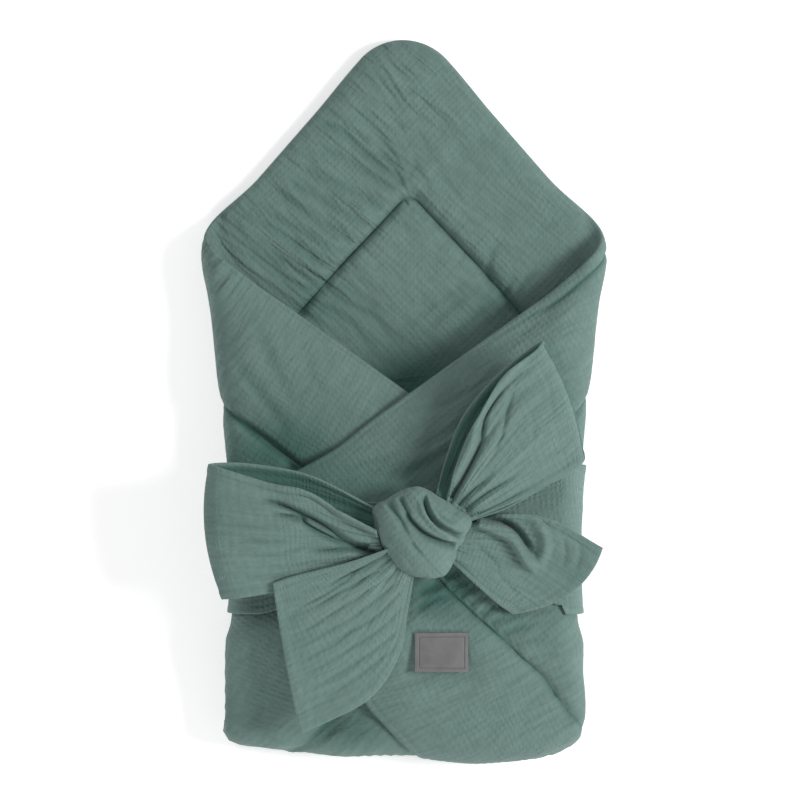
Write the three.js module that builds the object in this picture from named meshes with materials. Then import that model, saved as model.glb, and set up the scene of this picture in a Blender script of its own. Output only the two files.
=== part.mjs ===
// Rolled swaddle wrap: a padded square baby wrap folded round an empty pocket and tied with a wide sash.
// Millimetres, +Z up. The wrap lies on its back with the hood toward +Y. The origin is on the surface that
// it lies on, under the middle of its outline.
import * as THREE from 'three';

// Driving dimensions of the padded square
const HALF_SIDE = 386; // half the side of the flat square
const HALF_SEAM = 258; // half the side of the inner sewn square
const OUTER_CORNER = 66; // corner radius of the outer edge
const SEAM_CORNER = 14; // corner radius of the sewn square
const HOOD_TIP = { x: -2, y: 392 }; // where the two hood edges would meet, unrounded
const BIAS = { across: 0.955, along: 1.045 }; // the square is pulled longer along its diagonal

// Half thickness of the filled square
const HOOD_HALF = 12; // the puffed border that nothing presses
const FLAP_HALF = 6.2; // folded layers in the middle of the wrap
const END_HALF = 4.4; // layers pressed at the bottom end
const HOOD_SWELL = [-60, 120]; // the back swells toward the hood between these heights on the wrap
const END_PRESS = [-330, -200]; // and every layer thins toward the end between these
const TURN_HALF = 3.2; // where they are bent round the end
const SEAM_HALF = 1.2; // at the sewn square
const EDGE_ROUND = 24; // width over which the outer edge rounds off
const SEAM_ROUND = 22; // width over which the filling rises beside the sewn square
const PANEL_SHARE = 0.82; // the inner panel is flatter than the border
const QUILT_MESH = { inside: 7, bend: 4 }; // cells in half the inner square, and the bend that splits one

// Folds
const LEAN = THREE.MathUtils.degToRad(6); // the side folds lean toward each other at the bottom
const FOLD_TOP_Y = 160; // where the side folds leave the hood
const SIDES = [
  { sign: -1, fold: 180.5, bulge: 17 },
  { sign: 1, fold: 177, bulge: 18 },
];
const PRESSED_BULGE = 6.5; // the side folds where they are pressed flat
const PRESSED = [-335, -215]; // from there up, the pocket opens between these heights
const END_Y = -338.9; // the bottom end is turned under along this line
const END_SAG = { all: 14, power: 2.6, right: 7, rightPower: 9 }; // its ends lie higher than its middle
const END_TURN = { across: 0.8, least: 1 }; // its layers bulge out less than they are high
const HALF_WIDTH = 178; // half the width of the folded wrap

// The right flap rises over the left flap's upper edge, a line, in two steps of distance below it
const LEFT_EDGE = { x: -189.5, y: 137, slope: -0.653 };
const OVER_STEPS = [
  { share: 0.62, from: -60, to: 5 },
  { share: 0.38, from: -5, to: 25 },
];

// The middle of the back lies this high, and higher on the turned-under end: its tip, its full width, and
// the right flap's layer in it
const BACK_LOW = 11;
const BACK_ON_TIP = { rise: 9, y: [5, 90] };
const BACK_ON_END = { rise: 13, y: [-150, -40] };
const BACK_ON_RIGHT = { rise: 4, x: [10, 110], y: [-190, -110] };

// The lowest layers are pressed against the surface: over this depth, and flat under this height
const REST = { soft: 2, flat: 1 };

// Stretches of the wrap that are wider or narrower than its folds alone make them
const SPREADS = [
  { slope: 0.0009, from: -100, soft: 25 }, // the pocket is flatter toward its closed end
  { slope: 0.0013, from: -235, soft: 12 }, // which is pressed wider
  { slope: -0.0024, from: END_Y, soft: 15 }, // and its turned-under end is narrower
];
const WAIST = { share: 0.035, low: [-246, -222], high: [-170, -45] }; // drawn in by the sash
const CORNERS = { share: 0.022, y: 140, width: 32 }; // folds spread where they leave the hood
const HOOD_PULL = { share: 0.045, low: [180, 225], high: [290, 350] }; // hood edges drawn in
const SWING = { x: 38, low: [-340, -150], back: -20, under: [-600, -340] }; // the end lies askew
const UNDER_AXIS = -6.2; // height of the turn's axis, from the middle of the back
const POCKET = 28.5; // room between the back and the flaps, above the closed end
const LAYER = 10.5; // distance between pressed layers
const PRESSED_OVER = 5; // more room where the right flap lies over the left one

// Sash and bow
const SASH_THICK = 2;
const BAND = {
  width: 148, // flat width of the sash
  knotWidth: 58, // gathered under the knot
  y: -140, // its middle at the sides
  clear: 1.5, // gap between the band and the wrap
  under: [8, 22], // the wrap sinks to the surface again this far beyond the band's edges
  gather: [20, 140], // it is gathered from this far to this near the knot
  flat: 150, // half the flat stretch of its path
  low: 34, // path inside the wrap, lower and upper height
  high: 58,
  counts: { top: 16, side: 8, under: 12 },
  across: 5,
  reach: { level: 14, side: 6.5 }, // half the stretch of the path that each station feels
  pulls: 6, // how many times the hollows of its level stretches are pulled straight
  sidePulls: 2, // and those at its sides
};
const KNOT = { x: 16.3, y: -131.5, z: 110.9, up: 30, down: 14, square: 2.4 };

// Outline of the knot from above: direction in degrees from +X, and distance from its middle
const KNOT_OUTLINE = [
  { angle: -170, radius: 43 },
  { angle: -147, radius: 40 },
  { angle: -113, radius: 43 },
  { angle: -95, radius: 45 },
  { angle: -65, radius: 48 },
  { angle: -41, radius: 43 },
  { angle: -25, radius: 39 },
  { angle: -8, radius: 43 },
  { angle: 15, radius: 51 },
  { angle: 35, radius: 42 },
  { angle: 62, radius: 39 },
  { angle: 102, radius: 46 },
  { angle: 132, radius: 47 },
  { angle: 154, radius: 54 },
  { angle: 170, radius: 48 },
];

// Each loop and end of the bow is a strip given by its two hems, a and b, from the knot outward; a loop
// comes back to the knot on top. bulge pushes the middle of a row outward, arch lifts it. STRIP says how
// strips are meshed, and that the knot hides less than a third of one at each end.
const LEFT_LOOP = {
  outward: { x: -1, y: 0 },
  rows: [
    { a: [-22, -112, 110], b: [-19, -151, 107], bulge: 0, arch: 0 },
    { a: [-65, -89, 103], b: [-60, -169, 101], bulge: 0, arch: -1 },
    { a: [-114, -70, 102], b: [-114, -189, 100], bulge: 0, arch: -1 },
    { a: [-165, -63, 103], b: [-163, -197, 101], bulge: 2, arch: 0 },
    { a: [-193, -64, 110], b: [-180, -198, 107], bulge: 11, arch: 0 },
    { a: [-184, -67, 120], b: [-169, -197, 112], bulge: 8, arch: 4 },
    { a: [-128, -85, 124], b: [-114, -187, 109], bulge: 0, arch: 8 },
    { a: [-69, -110, 124], b: [-60, -169, 109], bulge: 0, arch: 6 },
    { a: [-29, -130, 121], b: [-21, -152, 112], bulge: 0, arch: 1 },
  ],
};
const RIGHT_LOOP = {
  outward: { x: 0.68, y: 0.73 },
  rows: [
    { a: [46, -98, 110], b: [64, -121, 107], bulge: 0, arch: 0 },
    { a: [49, -60, 104], b: [103, -107, 107], bulge: 0, arch: -1 },
    { a: [64, -16, 103], b: [138, -87, 104], bulge: 0, arch: -1 },
    { a: [93, 26, 103], b: [166, -72, 101], bulge: 2, arch: 0 },
    { a: [134, 57, 106], b: [176, -60, 107], bulge: 9, arch: 0 },
    { a: [129, 49, 116], b: [172, -66, 114], bulge: 7, arch: 4 },
    { a: [101, 23, 122], b: [152, -79, 114], bulge: 0, arch: 8 },
    { a: [80, -26, 123], b: [113, -99, 115], bulge: 0, arch: 6 },
    { a: [65, -72, 122], b: [83, -112, 116], bulge: 0, arch: 3 },
    { a: [54, -101, 119], b: [64, -119, 115], bulge: 0, arch: 0 },
  ],
};
const LEFT_TAIL = {
  outward: { x: -0.85, y: -0.5 },
  rows: [
    { a: [-17, -147, 123], b: [9, -170, 113], bulge: 0, arch: 0 },
    { a: [-55, -160, 121], b: [2, -211, 103], bulge: 0, arch: 2 },
    { a: [-86, -168, 120], b: [-4, -248, 98], bulge: 0, arch: 2 },
    { a: [-114, -175, 119], b: [-33, -295, 93], bulge: 0, arch: 0 },
    { a: [-131, -181, 117], b: [-104, -333, 88], bulge: 2, arch: -2 },
  ],
};
const RIGHT_TAIL = {
  outward: { x: 0.75, y: -0.66 },
  rows: [
    { a: [57, -126, 104.3], b: [47, -162, 104.3], bulge: 0, arch: 0 },
    { a: [93, -114, 101.3], b: [72, -186, 101.3], bulge: 0, arch: -1 },
    { a: [141, -118, 104.3], b: [91, -203, 98.3], bulge: 3, arch: 0 },
    { a: [195, -147, 108.3], b: [106, -213, 96.3], bulge: 18, arch: 2 },
  ],
};
const STRIP = { lift: 1.4, perRow: 3, across: 6, knotGap: 0.1, hidden: 0.3, halvings: 24 };

// The label patch on the right flap: rounded plate with a pressed frame line
const PATCH = { x: 35.8, y: -251.4, width: 53, height: 40, corner: 2.5, cornerSteps: 3, gap: 0.4 };
const PATCH_PROFILE = [
  { inset: 0, z: 0 },
  { inset: 0, z: 1.1 },
  { inset: 0.6, z: 1.5 },
  { inset: 3.4, z: 1.5 },
  { inset: 3.8, z: 1.1 },
  { inset: 4.6, z: 1.1 },
  { inset: 5, z: 1.5 },
];

const CLOTH = { color: 0x69827c, roughness: 0.92, metalness: 0 };
const SASH_CLOTH = { color: 0x6c877f, roughness: 0.92, metalness: 0 };
const LABEL = { color: 0x737373, roughness: 0.6, metalness: 0 };

const clamp = THREE.MathUtils.clamp;
const smooth = (from, to, value) => THREE.MathUtils.smoothstep(value, from, to);
const softplus = (value, width) => (
  Math.max(value, 0) + width * Math.log1p(Math.exp(-Math.abs(value) / width)));

// A point of a square grid moved so that every ring round the middle has round corners
function roundedSquare(p, q) {
  const ring = Math.max(Math.abs(p), Math.abs(q));
  const share = clamp((ring - HALF_SEAM) / (HALF_SIDE - HALF_SEAM), 0, 1);
  let radius = SEAM_CORNER + (OUTER_CORNER - SEAM_CORNER) * share;
  if (ring < HALF_SEAM) radius = SEAM_CORNER * ring / HALF_SEAM;
  if (radius < 1e-6) return [p, q];
  const small = Math.min(Math.abs(p), Math.abs(q));
  const straight = ring - radius;
  if (small <= straight) return [p, q];
  const angle = clamp((small - straight) / radius, 0, 1) * Math.PI / 4;
  const long = straight + radius * Math.cos(angle);
  const short = straight + radius * Math.sin(angle);
  const pIsLong = Math.abs(p) >= Math.abs(q);
  return [Math.sign(p) * (pIsLong ? long : short), Math.sign(q) * (pIsLong ? short : long)];
}

// Walk a distance along a half ellipse and on past it: how far out, and the angle turned
function halfEllipse(distance, across, rise) {
  const length = Math.PI * Math.sqrt((across * across + rise * rise) / 2);
  const turn = clamp(distance / length, 0, 1) * Math.PI;
  if (distance <= 0) return { out: distance, turn };
  if (distance >= length) return { out: length - distance, turn };
  return { out: across * Math.sin(turn), turn };
}

// Height of the left and right flaps above the back, middle to middle
function flapLevels(x, y) {
  const open = smooth(...PRESSED, y);
  const left = LAYER + POCKET * open;
  const edgeY = LEFT_EDGE.y + LEFT_EDGE.slope * (x - LEFT_EDGE.x);
  const below = (edgeY - y) / Math.hypot(1, LEFT_EDGE.slope);
  const covered = OVER_STEPS.reduce((sum, { share, from, to }) => sum + share * smooth(from, to, below), 0);
  const right = left + (LAYER + PRESSED_OVER * open) * covered;
  return [left, right];
}

// Height of the middle of the back above the surface: it lies on the turned-under end
function backHeight(x, y) {
  const onTip = BACK_ON_TIP.rise * (1 - smooth(...BACK_ON_TIP.y, y));
  const onEnd = BACK_ON_END.rise * (1 - smooth(...BACK_ON_END.y, y));
  const { rise, x: across, y: along } = BACK_ON_RIGHT;
  return BACK_LOW + onTip + onEnd + rise * smooth(...across, x) * (1 - smooth(...along, y));
}

// How much wider the wrap is at y than its folds make it
function widthShare(y) {
  const spread = SPREADS.reduce((sum, { slope, from, soft }) => sum + slope * softplus(from - y, soft), 0);
  const waist = WAIST.share * smooth(...WAIST.low, y) * (1 - smooth(...WAIST.high, y));
  const corners = CORNERS.share * Math.exp(-(((y - CORNERS.y) / CORNERS.width) ** 2));
  const pull = HOOD_PULL.share * smooth(...HOOD_PULL.low, y) * (1 - smooth(...HOOD_PULL.high, y));
  return 1 + spread - waist + corners - pull;
}

// Where the bottom end is turned under
function endLine(x) {
  const aside = clamp(x / HALF_WIDTH, -1.1, 1.1);
  const right = END_SAG.right * Math.max(aside, 0) ** END_SAG.rightPower;
  return END_Y + END_SAG.all * Math.abs(aside) ** END_SAG.power + right;
}

// A point of the flat square on the middle surface of the folded one, with its height on the wrap before
// the end is turned under, and how far it is turned there
function fold(gridP, gridQ) {
  const [p, q] = roundedSquare(gridP, gridQ);
  const reach = HALF_SIDE * Math.SQRT2 * BIAS.along;
  let x = HOOD_TIP.x + (p - q) / Math.SQRT2 * BIAS.across;
  let y = HOOD_TIP.y - reach + (p + q) / Math.SQRT2 * BIAS.along;
  let z = 0;
  for (const side of SIDES) {
    const nx = side.sign * Math.cos(LEAN);
    const ny = -Math.sin(LEAN);
    const past = (x - side.sign * side.fold) * nx + (y - FOLD_TOP_Y) * ny;
    if (past <= 0) continue;
    const pick = side.sign < 0 ? 0 : 1;
    const footY = y - past * ny;
    const rise = flapLevels(side.sign * side.fold, footY)[pick] / 2;
    const bulge = THREE.MathUtils.lerp(PRESSED_BULGE, side.bulge, smooth(...PRESSED, footY));
    const { out, turn } = halfEllipse(past, bulge, rise);
    x += (out - past) * nx;
    y += (out - past) * ny;
    z = flapLevels(x, y)[pick] * (1 - Math.cos(turn)) / 2;
  }
  x *= widthShare(y);
  const swing = SWING.x * (1 - smooth(...SWING.low, y)) + SWING.back * (1 - smooth(...SWING.under, y));
  const fromMiddle = Math.min(Math.abs(x) / HALF_WIDTH, 1);
  x += swing * (1 - fromMiddle ** 2) ** 2;
  const along = y;
  let endTurn = 0;
  const line = endLine(x);
  if (y < line) {
    const radius = z - UNDER_AXIS;
    const { out, turn } = halfEllipse(line - y, END_TURN.across * radius + END_TURN.least, radius);
    y = line - out;
    z = UNDER_AXIS + radius * Math.cos(turn);
    endTurn = turn;
  }
  return { point: new THREE.Vector3(x, y, z + backHeight(x, y)), along, endTurn };
}

function foldPoint(p, q) {
  return fold(p, q).point;
}

function foldNormal(p, q) {
  const step = 0.5;
  const alongP = foldPoint(p + step, q).sub(foldPoint(p - step, q));
  const alongQ = foldPoint(p, q + step).sub(foldPoint(p, q - step));
  return alongP.cross(alongQ).normalize();
}

// Half thickness of the filled square: round at the edge, drawn in at the sewn square
function halfThickness(p, q, folded, isBack) {
  const ring = Math.max(Math.abs(p), Math.abs(q));
  const fromEdge = clamp((HALF_SIDE - ring) / EDGE_ROUND, 0, 1);
  const fromSeam = clamp(Math.abs(ring - HALF_SEAM) / SEAM_ROUND, 0, 1);
  const edge = Math.sqrt(1 - (1 - fromEdge) ** 2);
  const seam = Math.sqrt(1 - (1 - fromSeam) ** 2);
  const hood = isBack ? smooth(...HOOD_SWELL, folded.along) : 0;
  const full = FLAP_HALF + (HOOD_HALF - FLAP_HALF) * hood
    - (FLAP_HALF - END_HALF) * (1 - smooth(...END_PRESS, folded.along))
    - (END_HALF - TURN_HALF) * Math.sin(folded.endTurn);
  const share = ring > HALF_SEAM ? 1 : PANEL_SHARE;
  return edge * (SEAM_HALF + (full * share - SEAM_HALF) * seam);
}

// Is a point of the flat square on the back, and not on a flap or a side fold
function isOnBack(gridP, gridQ) {
  const [p, q] = roundedSquare(gridP, gridQ);
  const reach = HALF_SIDE * Math.SQRT2 * BIAS.along;
  const x = HOOD_TIP.x + (p - q) / Math.SQRT2 * BIAS.across;
  const y = HOOD_TIP.y - reach + (p + q) / Math.SQRT2 * BIAS.along;
  return SIDES.every((side) => {
    const past = (x - side.sign * side.fold) * side.sign * Math.cos(LEAN) - (y - FOLD_TOP_Y) * Math.sin(LEAN);
    return past <= 0;
  });
}

// The quilt's lowest height: the surface it lies on, or just over the band where that passes under it
function floorHeight(y) {
  const away = Math.abs(y - BAND.y) - BAND.width / 2;
  return (SASH_THICK + BAND.clear) * (1 - smooth(...BAND.under, away));
}

// One point on the inner (+1) or outer (-1) face of the quilt
function quiltPoint(p, q, face) {
  const folded = fold(p, q);
  const half = halfThickness(p, q, folded, isOnBack(p, q));
  const point = folded.point.addScaledVector(foldNormal(p, q), face * half);
  const floor = floorHeight(point.y);
  point.z = floor + Math.max(softplus(point.z - floor, REST.soft) - REST.flat, 0);
  return point;
}

// Vertices and triangles collected by hand, turned into one closed mesh
class Shell {
  constructor() {
    this.points = [];
    this.triangles = [];
  }

  add(point) {
    this.points.push(point);
    return this.points.length - 1;
  }

  quad(a, b, c, d, otherDiagonal = false) {
    if (otherDiagonal) this.triangles.push([a, b, d], [b, c, d]);
    else this.triangles.push([a, b, c], [a, c, d]);
  }

  // Faces point out when the enclosed volume is positive
  geometry() {
    let volume = 0;
    for (const [a, b, c] of this.triangles) {
      const cross = this.points[b].clone().cross(this.points[c]);
      volume += this.points[a].dot(cross);
    }
    const order = volume >= 0 ? [0, 1, 2] : [0, 2, 1];
    const geometry = new THREE.BufferGeometry();
    geometry.setFromPoints(this.points);
    geometry.setIndex(this.triangles.flatMap((triangle) => order.map((i) => triangle[i])));
    geometry.computeVertexNormals();
    return geometry;
  }
}

// Lines of the square's grid, closer at the outer edge and on both sides of the sewn square, with one
// more line in the middle of each cell
function quiltLines() {
  const fromEdge = [0, 5, 20, 46, 78, 108, 128, 148];
  const half = fromEdge.map((d) => HALF_SIDE - d);
  const inner = half[half.length - 1];
  for (let i = 1; i < QUILT_MESH.inside; i += 1) half.push(inner * (1 - i / QUILT_MESH.inside));
  const lines = [...half.map((v) => -v), 0, ...half.reverse()];
  return lines.flatMap((v, i) => (i === 0 ? [v] : [(lines[i - 1] + v) / 2, v]));
}

// How far the middle surface of a cell bends away from its corners
function cellBend(lines, i, j) {
  const at = (u, v) => foldPoint(lines[i + u], lines[j + v]);
  const corners = [at(0, 0), at(2, 0), at(2, 2), at(0, 2)];
  const middle = corners[0].clone().add(corners[1]).add(corners[2]).add(corners[3]).divideScalar(4);
  const between = (k) => corners[k].clone().lerp(corners[(k + 1) % 4], 0.5);
  return Math.max(
    at(1, 1).distanceTo(middle),
    at(1, 0).distanceTo(between(0)),
    at(2, 1).distanceTo(between(1)),
    at(1, 2).distanceTo(between(2)),
    at(0, 1).distanceTo(between(3)),
  );
}

// The two triangles of a small cell, split along the diagonal that lies nearer the true surface
function smallCell(shell, cell, centre) {
  const [a, b, c, d] = cell.map((n) => shell.points[n]);
  const first = a.clone().lerp(c, 0.5).distanceTo(centre);
  const second = b.clone().lerp(d, 0.5).distanceTo(centre);
  shell.quad(...cell, second < first);
}

// Both faces of the quilt over a grid of cells; a cell that bends is split in four, and one beside it takes
// the new points into its outline
function quiltGeometry() {
  const lines = quiltLines();
  const last = lines.length - 1;
  const shell = new Shell();
  const made = new Map();
  const vertex = (i, j, face) => {
    const onEdge = i === 0 || j === 0 || i === last || j === last;
    const key = `${i} ${j} ${onEdge ? 1 : face}`;
    if (!made.has(key)) made.set(key, shell.add(quiltPoint(lines[i], lines[j], onEdge ? 1 : face)));
    return made.get(key);
  };
  const bends = new Set();
  for (let i = 0; i < last; i += 2) {
    for (let j = 0; j < last; j += 2) {
      if (cellBend(lines, i, j) > QUILT_MESH.bend) bends.add(`${i} ${j}`);
    }
  }
  const isSplit = (i, j) => bends.has(`${i} ${j}`);
  const ordered = (cell, face) => (face < 0 ? cell.reverse() : cell);
  for (let i = 0; i < last; i += 2) {
    for (let j = 0; j < last; j += 2) {
      for (const face of [1, -1]) {
        if (isSplit(i, j)) {
          for (const [u, v] of [[0, 0], [1, 0], [0, 1], [1, 1]]) {
            const corners = [[0, 0], [1, 0], [1, 1], [0, 1]].map(([a, b]) => (
              vertex(i + u + a, j + v + b, face)));
            const p = (lines[i + u] + lines[i + u + 1]) / 2;
            const q = (lines[j + v] + lines[j + v + 1]) / 2;
            smallCell(shell, ordered(corners, face), quiltPoint(p, q, face));
          }
          continue;
        }
        const outline = [vertex(i, j, face)];
        if (isSplit(i, j - 2)) outline.push(vertex(i + 1, j, face));
        outline.push(vertex(i + 2, j, face));
        if (isSplit(i + 2, j)) outline.push(vertex(i + 2, j + 1, face));
        outline.push(vertex(i + 2, j + 2, face));
        if (isSplit(i, j + 2)) outline.push(vertex(i + 1, j + 2, face));
        outline.push(vertex(i, j + 2, face));
        if (isSplit(i - 2, j)) outline.push(vertex(i, j + 1, face));
        ordered(outline, face);
        const centre = quiltPoint(lines[i + 1], lines[j + 1], face);
        if (outline.length === 4) {
          smallCell(shell, outline, centre);
          continue;
        }
        const hub = vertex(i + 1, j + 1, face);
        outline.forEach((n, k) => shell.triangles.push([hub, n, outline[(k + 1) % outline.length]]));
      }
    }
  }
  return shell.geometry();
}

// A sheet of cloth: its middle surface over a grid, thickened to both sides
function sheetGeometry(countS, countW, middle, thickness, closed = false) {
  const shell = new Shell();
  const faces = [1, -1].map(() => []);
  const step = 1e-3;
  const rows = closed ? countS : countS + 1;
  for (let i = 0; i < rows; i += 1) {
    faces.forEach((face) => face.push([]));
    for (let j = 0; j <= countW; j += 1) {
      const s = i / countS;
      const w = j / countW;
      const alongS = middle(s + step, w).sub(middle(s - step, w));
      const alongW = middle(s, w + step).sub(middle(s, w - step));
      const normal = alongS.cross(alongW).normalize();
      [1, -1].forEach((sign, k) => {
        const point = middle(s, w).addScaledVector(normal, sign * thickness / 2);
        faces[k][i].push(shell.add(point));
      });
    }
  }
  const [front, back] = faces;
  for (let i = 0; i < countS; i += 1) {
    const n = closed ? (i + 1) % countS : i + 1;
    for (let j = 0; j < countW; j += 1) {
      shell.quad(front[i][j], front[n][j], front[n][j + 1], front[i][j + 1]);
      shell.quad(back[i][j + 1], back[n][j + 1], back[n][j], back[i][j]);
    }
    shell.quad(front[i][0], back[i][0], back[n][0], front[n][0]);
    shell.quad(front[n][countW], back[n][countW], back[i][countW], front[i][countW]);
  }
  if (!closed) {
    for (let j = 0; j < countW; j += 1) {
      shell.quad(front[0][j + 1], back[0][j + 1], back[0][j], front[0][j]);
      shell.quad(front[countS][j], back[countS][j], back[countS][j + 1], front[countS][j + 1]);
    }
  }
  return shell.geometry();
}

// Points all over the folded quilt, for the pieces that lie on it
function quiltCloud() {
  const spacing = 6;
  const points = [];
  for (let p = -HALF_SIDE; p <= HALF_SIDE; p += spacing) {
    for (let q = -HALF_SIDE; q <= HALF_SIDE; q += spacing) {
      points.push(quiltPoint(p, q, 1), quiltPoint(p, q, -1));
    }
  }
  return points;
}

// The band's path inside the wrap, all round: where each station is and which way is out
function bandStations() {
  const { flat, low, high, counts } = BAND;
  const middle = (low + high) / 2;
  const half = (high - low) / 2;
  const stations = [];
  for (let i = 0; i < counts.top; i += 1) {
    stations.push({ x: flat * (2 * i / counts.top - 1), z: high, nx: 0, nz: 1 });
  }
  for (let i = 0; i < counts.side; i += 1) {
    const turn = i / counts.side * Math.PI;
    stations.push({ x: flat, z: middle + half * Math.cos(turn), nx: Math.sin(turn), nz: Math.cos(turn) });
  }
  for (let i = 0; i < counts.under; i += 1) {
    stations.push({ x: flat * (1 - 2 * i / counts.under), z: low, nx: 0, nz: -1 });
  }
  for (let i = 0; i < counts.side; i += 1) {
    const turn = i / counts.side * Math.PI;
    stations.push({ x: -flat, z: middle - half * Math.cos(turn), nx: -Math.sin(turn), nz: -Math.cos(turn) });
  }
  return stations;
}

// How far the wrap reaches from a station, along its outward direction
function reachFrom(station, y, halfStep, cloud) {
  const window = Math.abs(station.nz) > 0.99 ? BAND.reach.level : BAND.reach.side;
  let reach = 0;
  for (const point of cloud) {
    const dx = point.x - station.x;
    const dz = point.z - station.z;
    const out = dx * station.nx + dz * station.nz;
    const aside = Math.abs(dx * station.nz - dz * station.nx);
    if (aside < window && Math.abs(point.y - y) < halfStep && out > reach) reach = out;
  }
  return reach;
}

// The band: a closed ring that lies snugly round the wrap and is gathered under the knot
function bandGeometry(cloud) {
  const stations = bandStations();
  const near = cloud.filter((point) => Math.abs(point.y - BAND.y) < BAND.width / 2 + 12);
  const count = stations.length;
  const widths = stations.map((station) => {
    const gathered = station.nz > 0.99 ? 1 - smooth(...BAND.gather, Math.abs(station.x - KNOT.x)) : 0;
    const middle = THREE.MathUtils.lerp(BAND.y, KNOT.y, gathered);
    const width = THREE.MathUtils.lerp(BAND.width, BAND.knotWidth, gathered);
    return { middle, width };
  });
  const yAt = (i, j) => widths[i].middle + widths[i].width * (0.5 - j / BAND.across);
  const reaches = stations.map((station, i) => {
    const halfStep = 0.6 * widths[i].width / BAND.across;
    const under = near.filter((point) => Math.abs(point.y - widths[i].middle) < widths[i].width / 2 + 3);
    const line = [];
    for (let j = 0; j <= BAND.across; j += 1) line.push(reachFrom(station, yAt(i, j), halfStep, under));
    return line;
  });
  for (let pull = 0; pull < BAND.pulls; pull += 1) {
    for (let i = 0; i < count; i += 1) {
      const isLevel = Math.abs(stations[i].nz) > 0.99;
      if (!isLevel && pull >= BAND.sidePulls) continue;
      const before = reaches[(i + count - 1) % count];
      const after = reaches[(i + 1) % count];
      reaches[i] = reaches[i].map((reach, j) => Math.max(reach, (before[j] + after[j]) / 2));
    }
  }
  const grid = stations.map((station, i) => reaches[i].map((reach, j) => {
    const out = reach + BAND.clear + SASH_THICK / 2;
    const z = Math.max(station.z + station.nz * out, SASH_THICK / 2);
    return new THREE.Vector3(station.x + station.nx * out, yAt(i, j), z);
  }));
  const middle = (s, w) => {
    const i = ((s * count) % count + count) % count;
    const j = clamp(w, 0, 1) * BAND.across;
    const i0 = Math.floor(i) % count;
    const j0 = Math.min(Math.floor(j), BAND.across - 1);
    const i1 = (i0 + 1) % count;
    const low = grid[i0][j0].clone().lerp(grid[i1][j0], i - Math.floor(i));
    const high = grid[i0][j0 + 1].clone().lerp(grid[i1][j0 + 1], i - Math.floor(i));
    return low.lerp(high, j - j0);
  };
  return sheetGeometry(count, BAND.across, middle, SASH_THICK, true);
}

const KNOT_MIDDLE = new THREE.Vector3(KNOT.x, KNOT.y, KNOT.z);

function knotOutline(angle) {
  const degrees = THREE.MathUtils.radToDeg(angle);
  const rows = KNOT_OUTLINE;
  const next = rows.findIndex((row) => row.angle > degrees);
  const upper = next < 0 ? { ...rows[0], angle: rows[0].angle + 360 } : rows[next];
  const last = rows[rows.length - 1];
  const lower = next === 0 ? { ...last, angle: last.angle - 360 } : rows[(next < 0 ? rows.length : next) - 1];
  const share = (degrees - lower.angle) / (upper.angle - lower.angle);
  return THREE.MathUtils.lerp(lower.radius, upper.radius, smooth(0, 1, share));
}

// Distance from the middle of the knot to its surface in a direction
function knotRadius(direction) {
  const level = Math.hypot(direction.x, direction.y);
  const across = level / knotOutline(Math.atan2(direction.y, direction.x));
  const upright = Math.abs(direction.z) / (direction.z > 0 ? KNOT.up : KNOT.down);
  return (across ** KNOT.square + upright ** KNOT.square) ** (-1 / KNOT.square);
}

function knotGeometry() {
  const around = 30;
  const rings = 12;
  const shell = new Shell();
  const at = (turn, tilt) => {
    const direction = new THREE.Vector3().setFromSphericalCoords(1, tilt, turn);
    direction.set(direction.z, direction.x, direction.y);
    return direction.multiplyScalar(knotRadius(direction)).add(KNOT_MIDDLE);
  };
  const top = shell.add(at(0, 0));
  const bottom = shell.add(at(0, Math.PI));
  const grid = [];
  for (let i = 1; i < rings; i += 1) {
    grid.push([]);
    for (let j = 0; j < around; j += 1) {
      grid[i - 1].push(shell.add(at(j / around * 2 * Math.PI, i / rings * Math.PI)));
    }
  }
  for (let j = 0; j < around; j += 1) {
    const n = (j + 1) % around;
    shell.triangles.push([top, grid[0][j], grid[0][n]]);
    for (let i = 0; i < rings - 2; i += 1) shell.quad(grid[i][j], grid[i + 1][j], grid[i + 1][n], grid[i][n]);
    shell.triangles.push([bottom, grid[rings - 2][n], grid[rings - 2][j]]);
  }
  return shell.geometry();
}

function isInKnot(point, margin) {
  const away = point.clone().sub(KNOT_MIDDLE);
  const distance = away.length();
  return distance < knotRadius(away.divideScalar(distance)) + margin;
}

// A strip of the bow between its two hems; s runs along it and w from hem a to hem b
function stripSurface(strip) {
  const { rows, outward } = strip;
  const hem = (key) => new THREE.CatmullRomCurve3(rows.map((row) => new THREE.Vector3(...row[key])));
  const hemA = hem('a');
  const hemB = hem('b');
  const between = (key, s) => {
    const place = clamp(s, 0, 1) * (rows.length - 1);
    const i = Math.min(Math.floor(place), rows.length - 2);
    return THREE.MathUtils.lerp(rows[i][key], rows[i + 1][key], smooth(0, 1, place - i));
  };
  return (s, w) => {
    const along = clamp(s, 0, 1);
    const point = hemA.getPoint(along).lerp(hemB.getPoint(along), w);
    const push = between('bulge', along) * 4 * w * (1 - w);
    point.x += outward.x * push;
    point.y += outward.y * push;
    point.z += STRIP.lift + between('arch', along) * Math.sin(Math.PI * w);
    return point;
  };
}

// Where a strip leaves the knot on the line w, searched from one end of the strip
function leavesKnot(surface, w, end) {
  const margin = STRIP.knotGap + SASH_THICK / 2;
  let inside = end;
  let outside = end === 0 ? STRIP.hidden : 1 - STRIP.hidden;
  if (!isInKnot(surface(inside, w), margin)) return inside;
  for (let i = 0; i < STRIP.halvings; i += 1) {
    const middle = (inside + outside) / 2;
    if (isInKnot(surface(middle, w), margin)) inside = middle;
    else outside = middle;
  }
  return outside;
}

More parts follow.
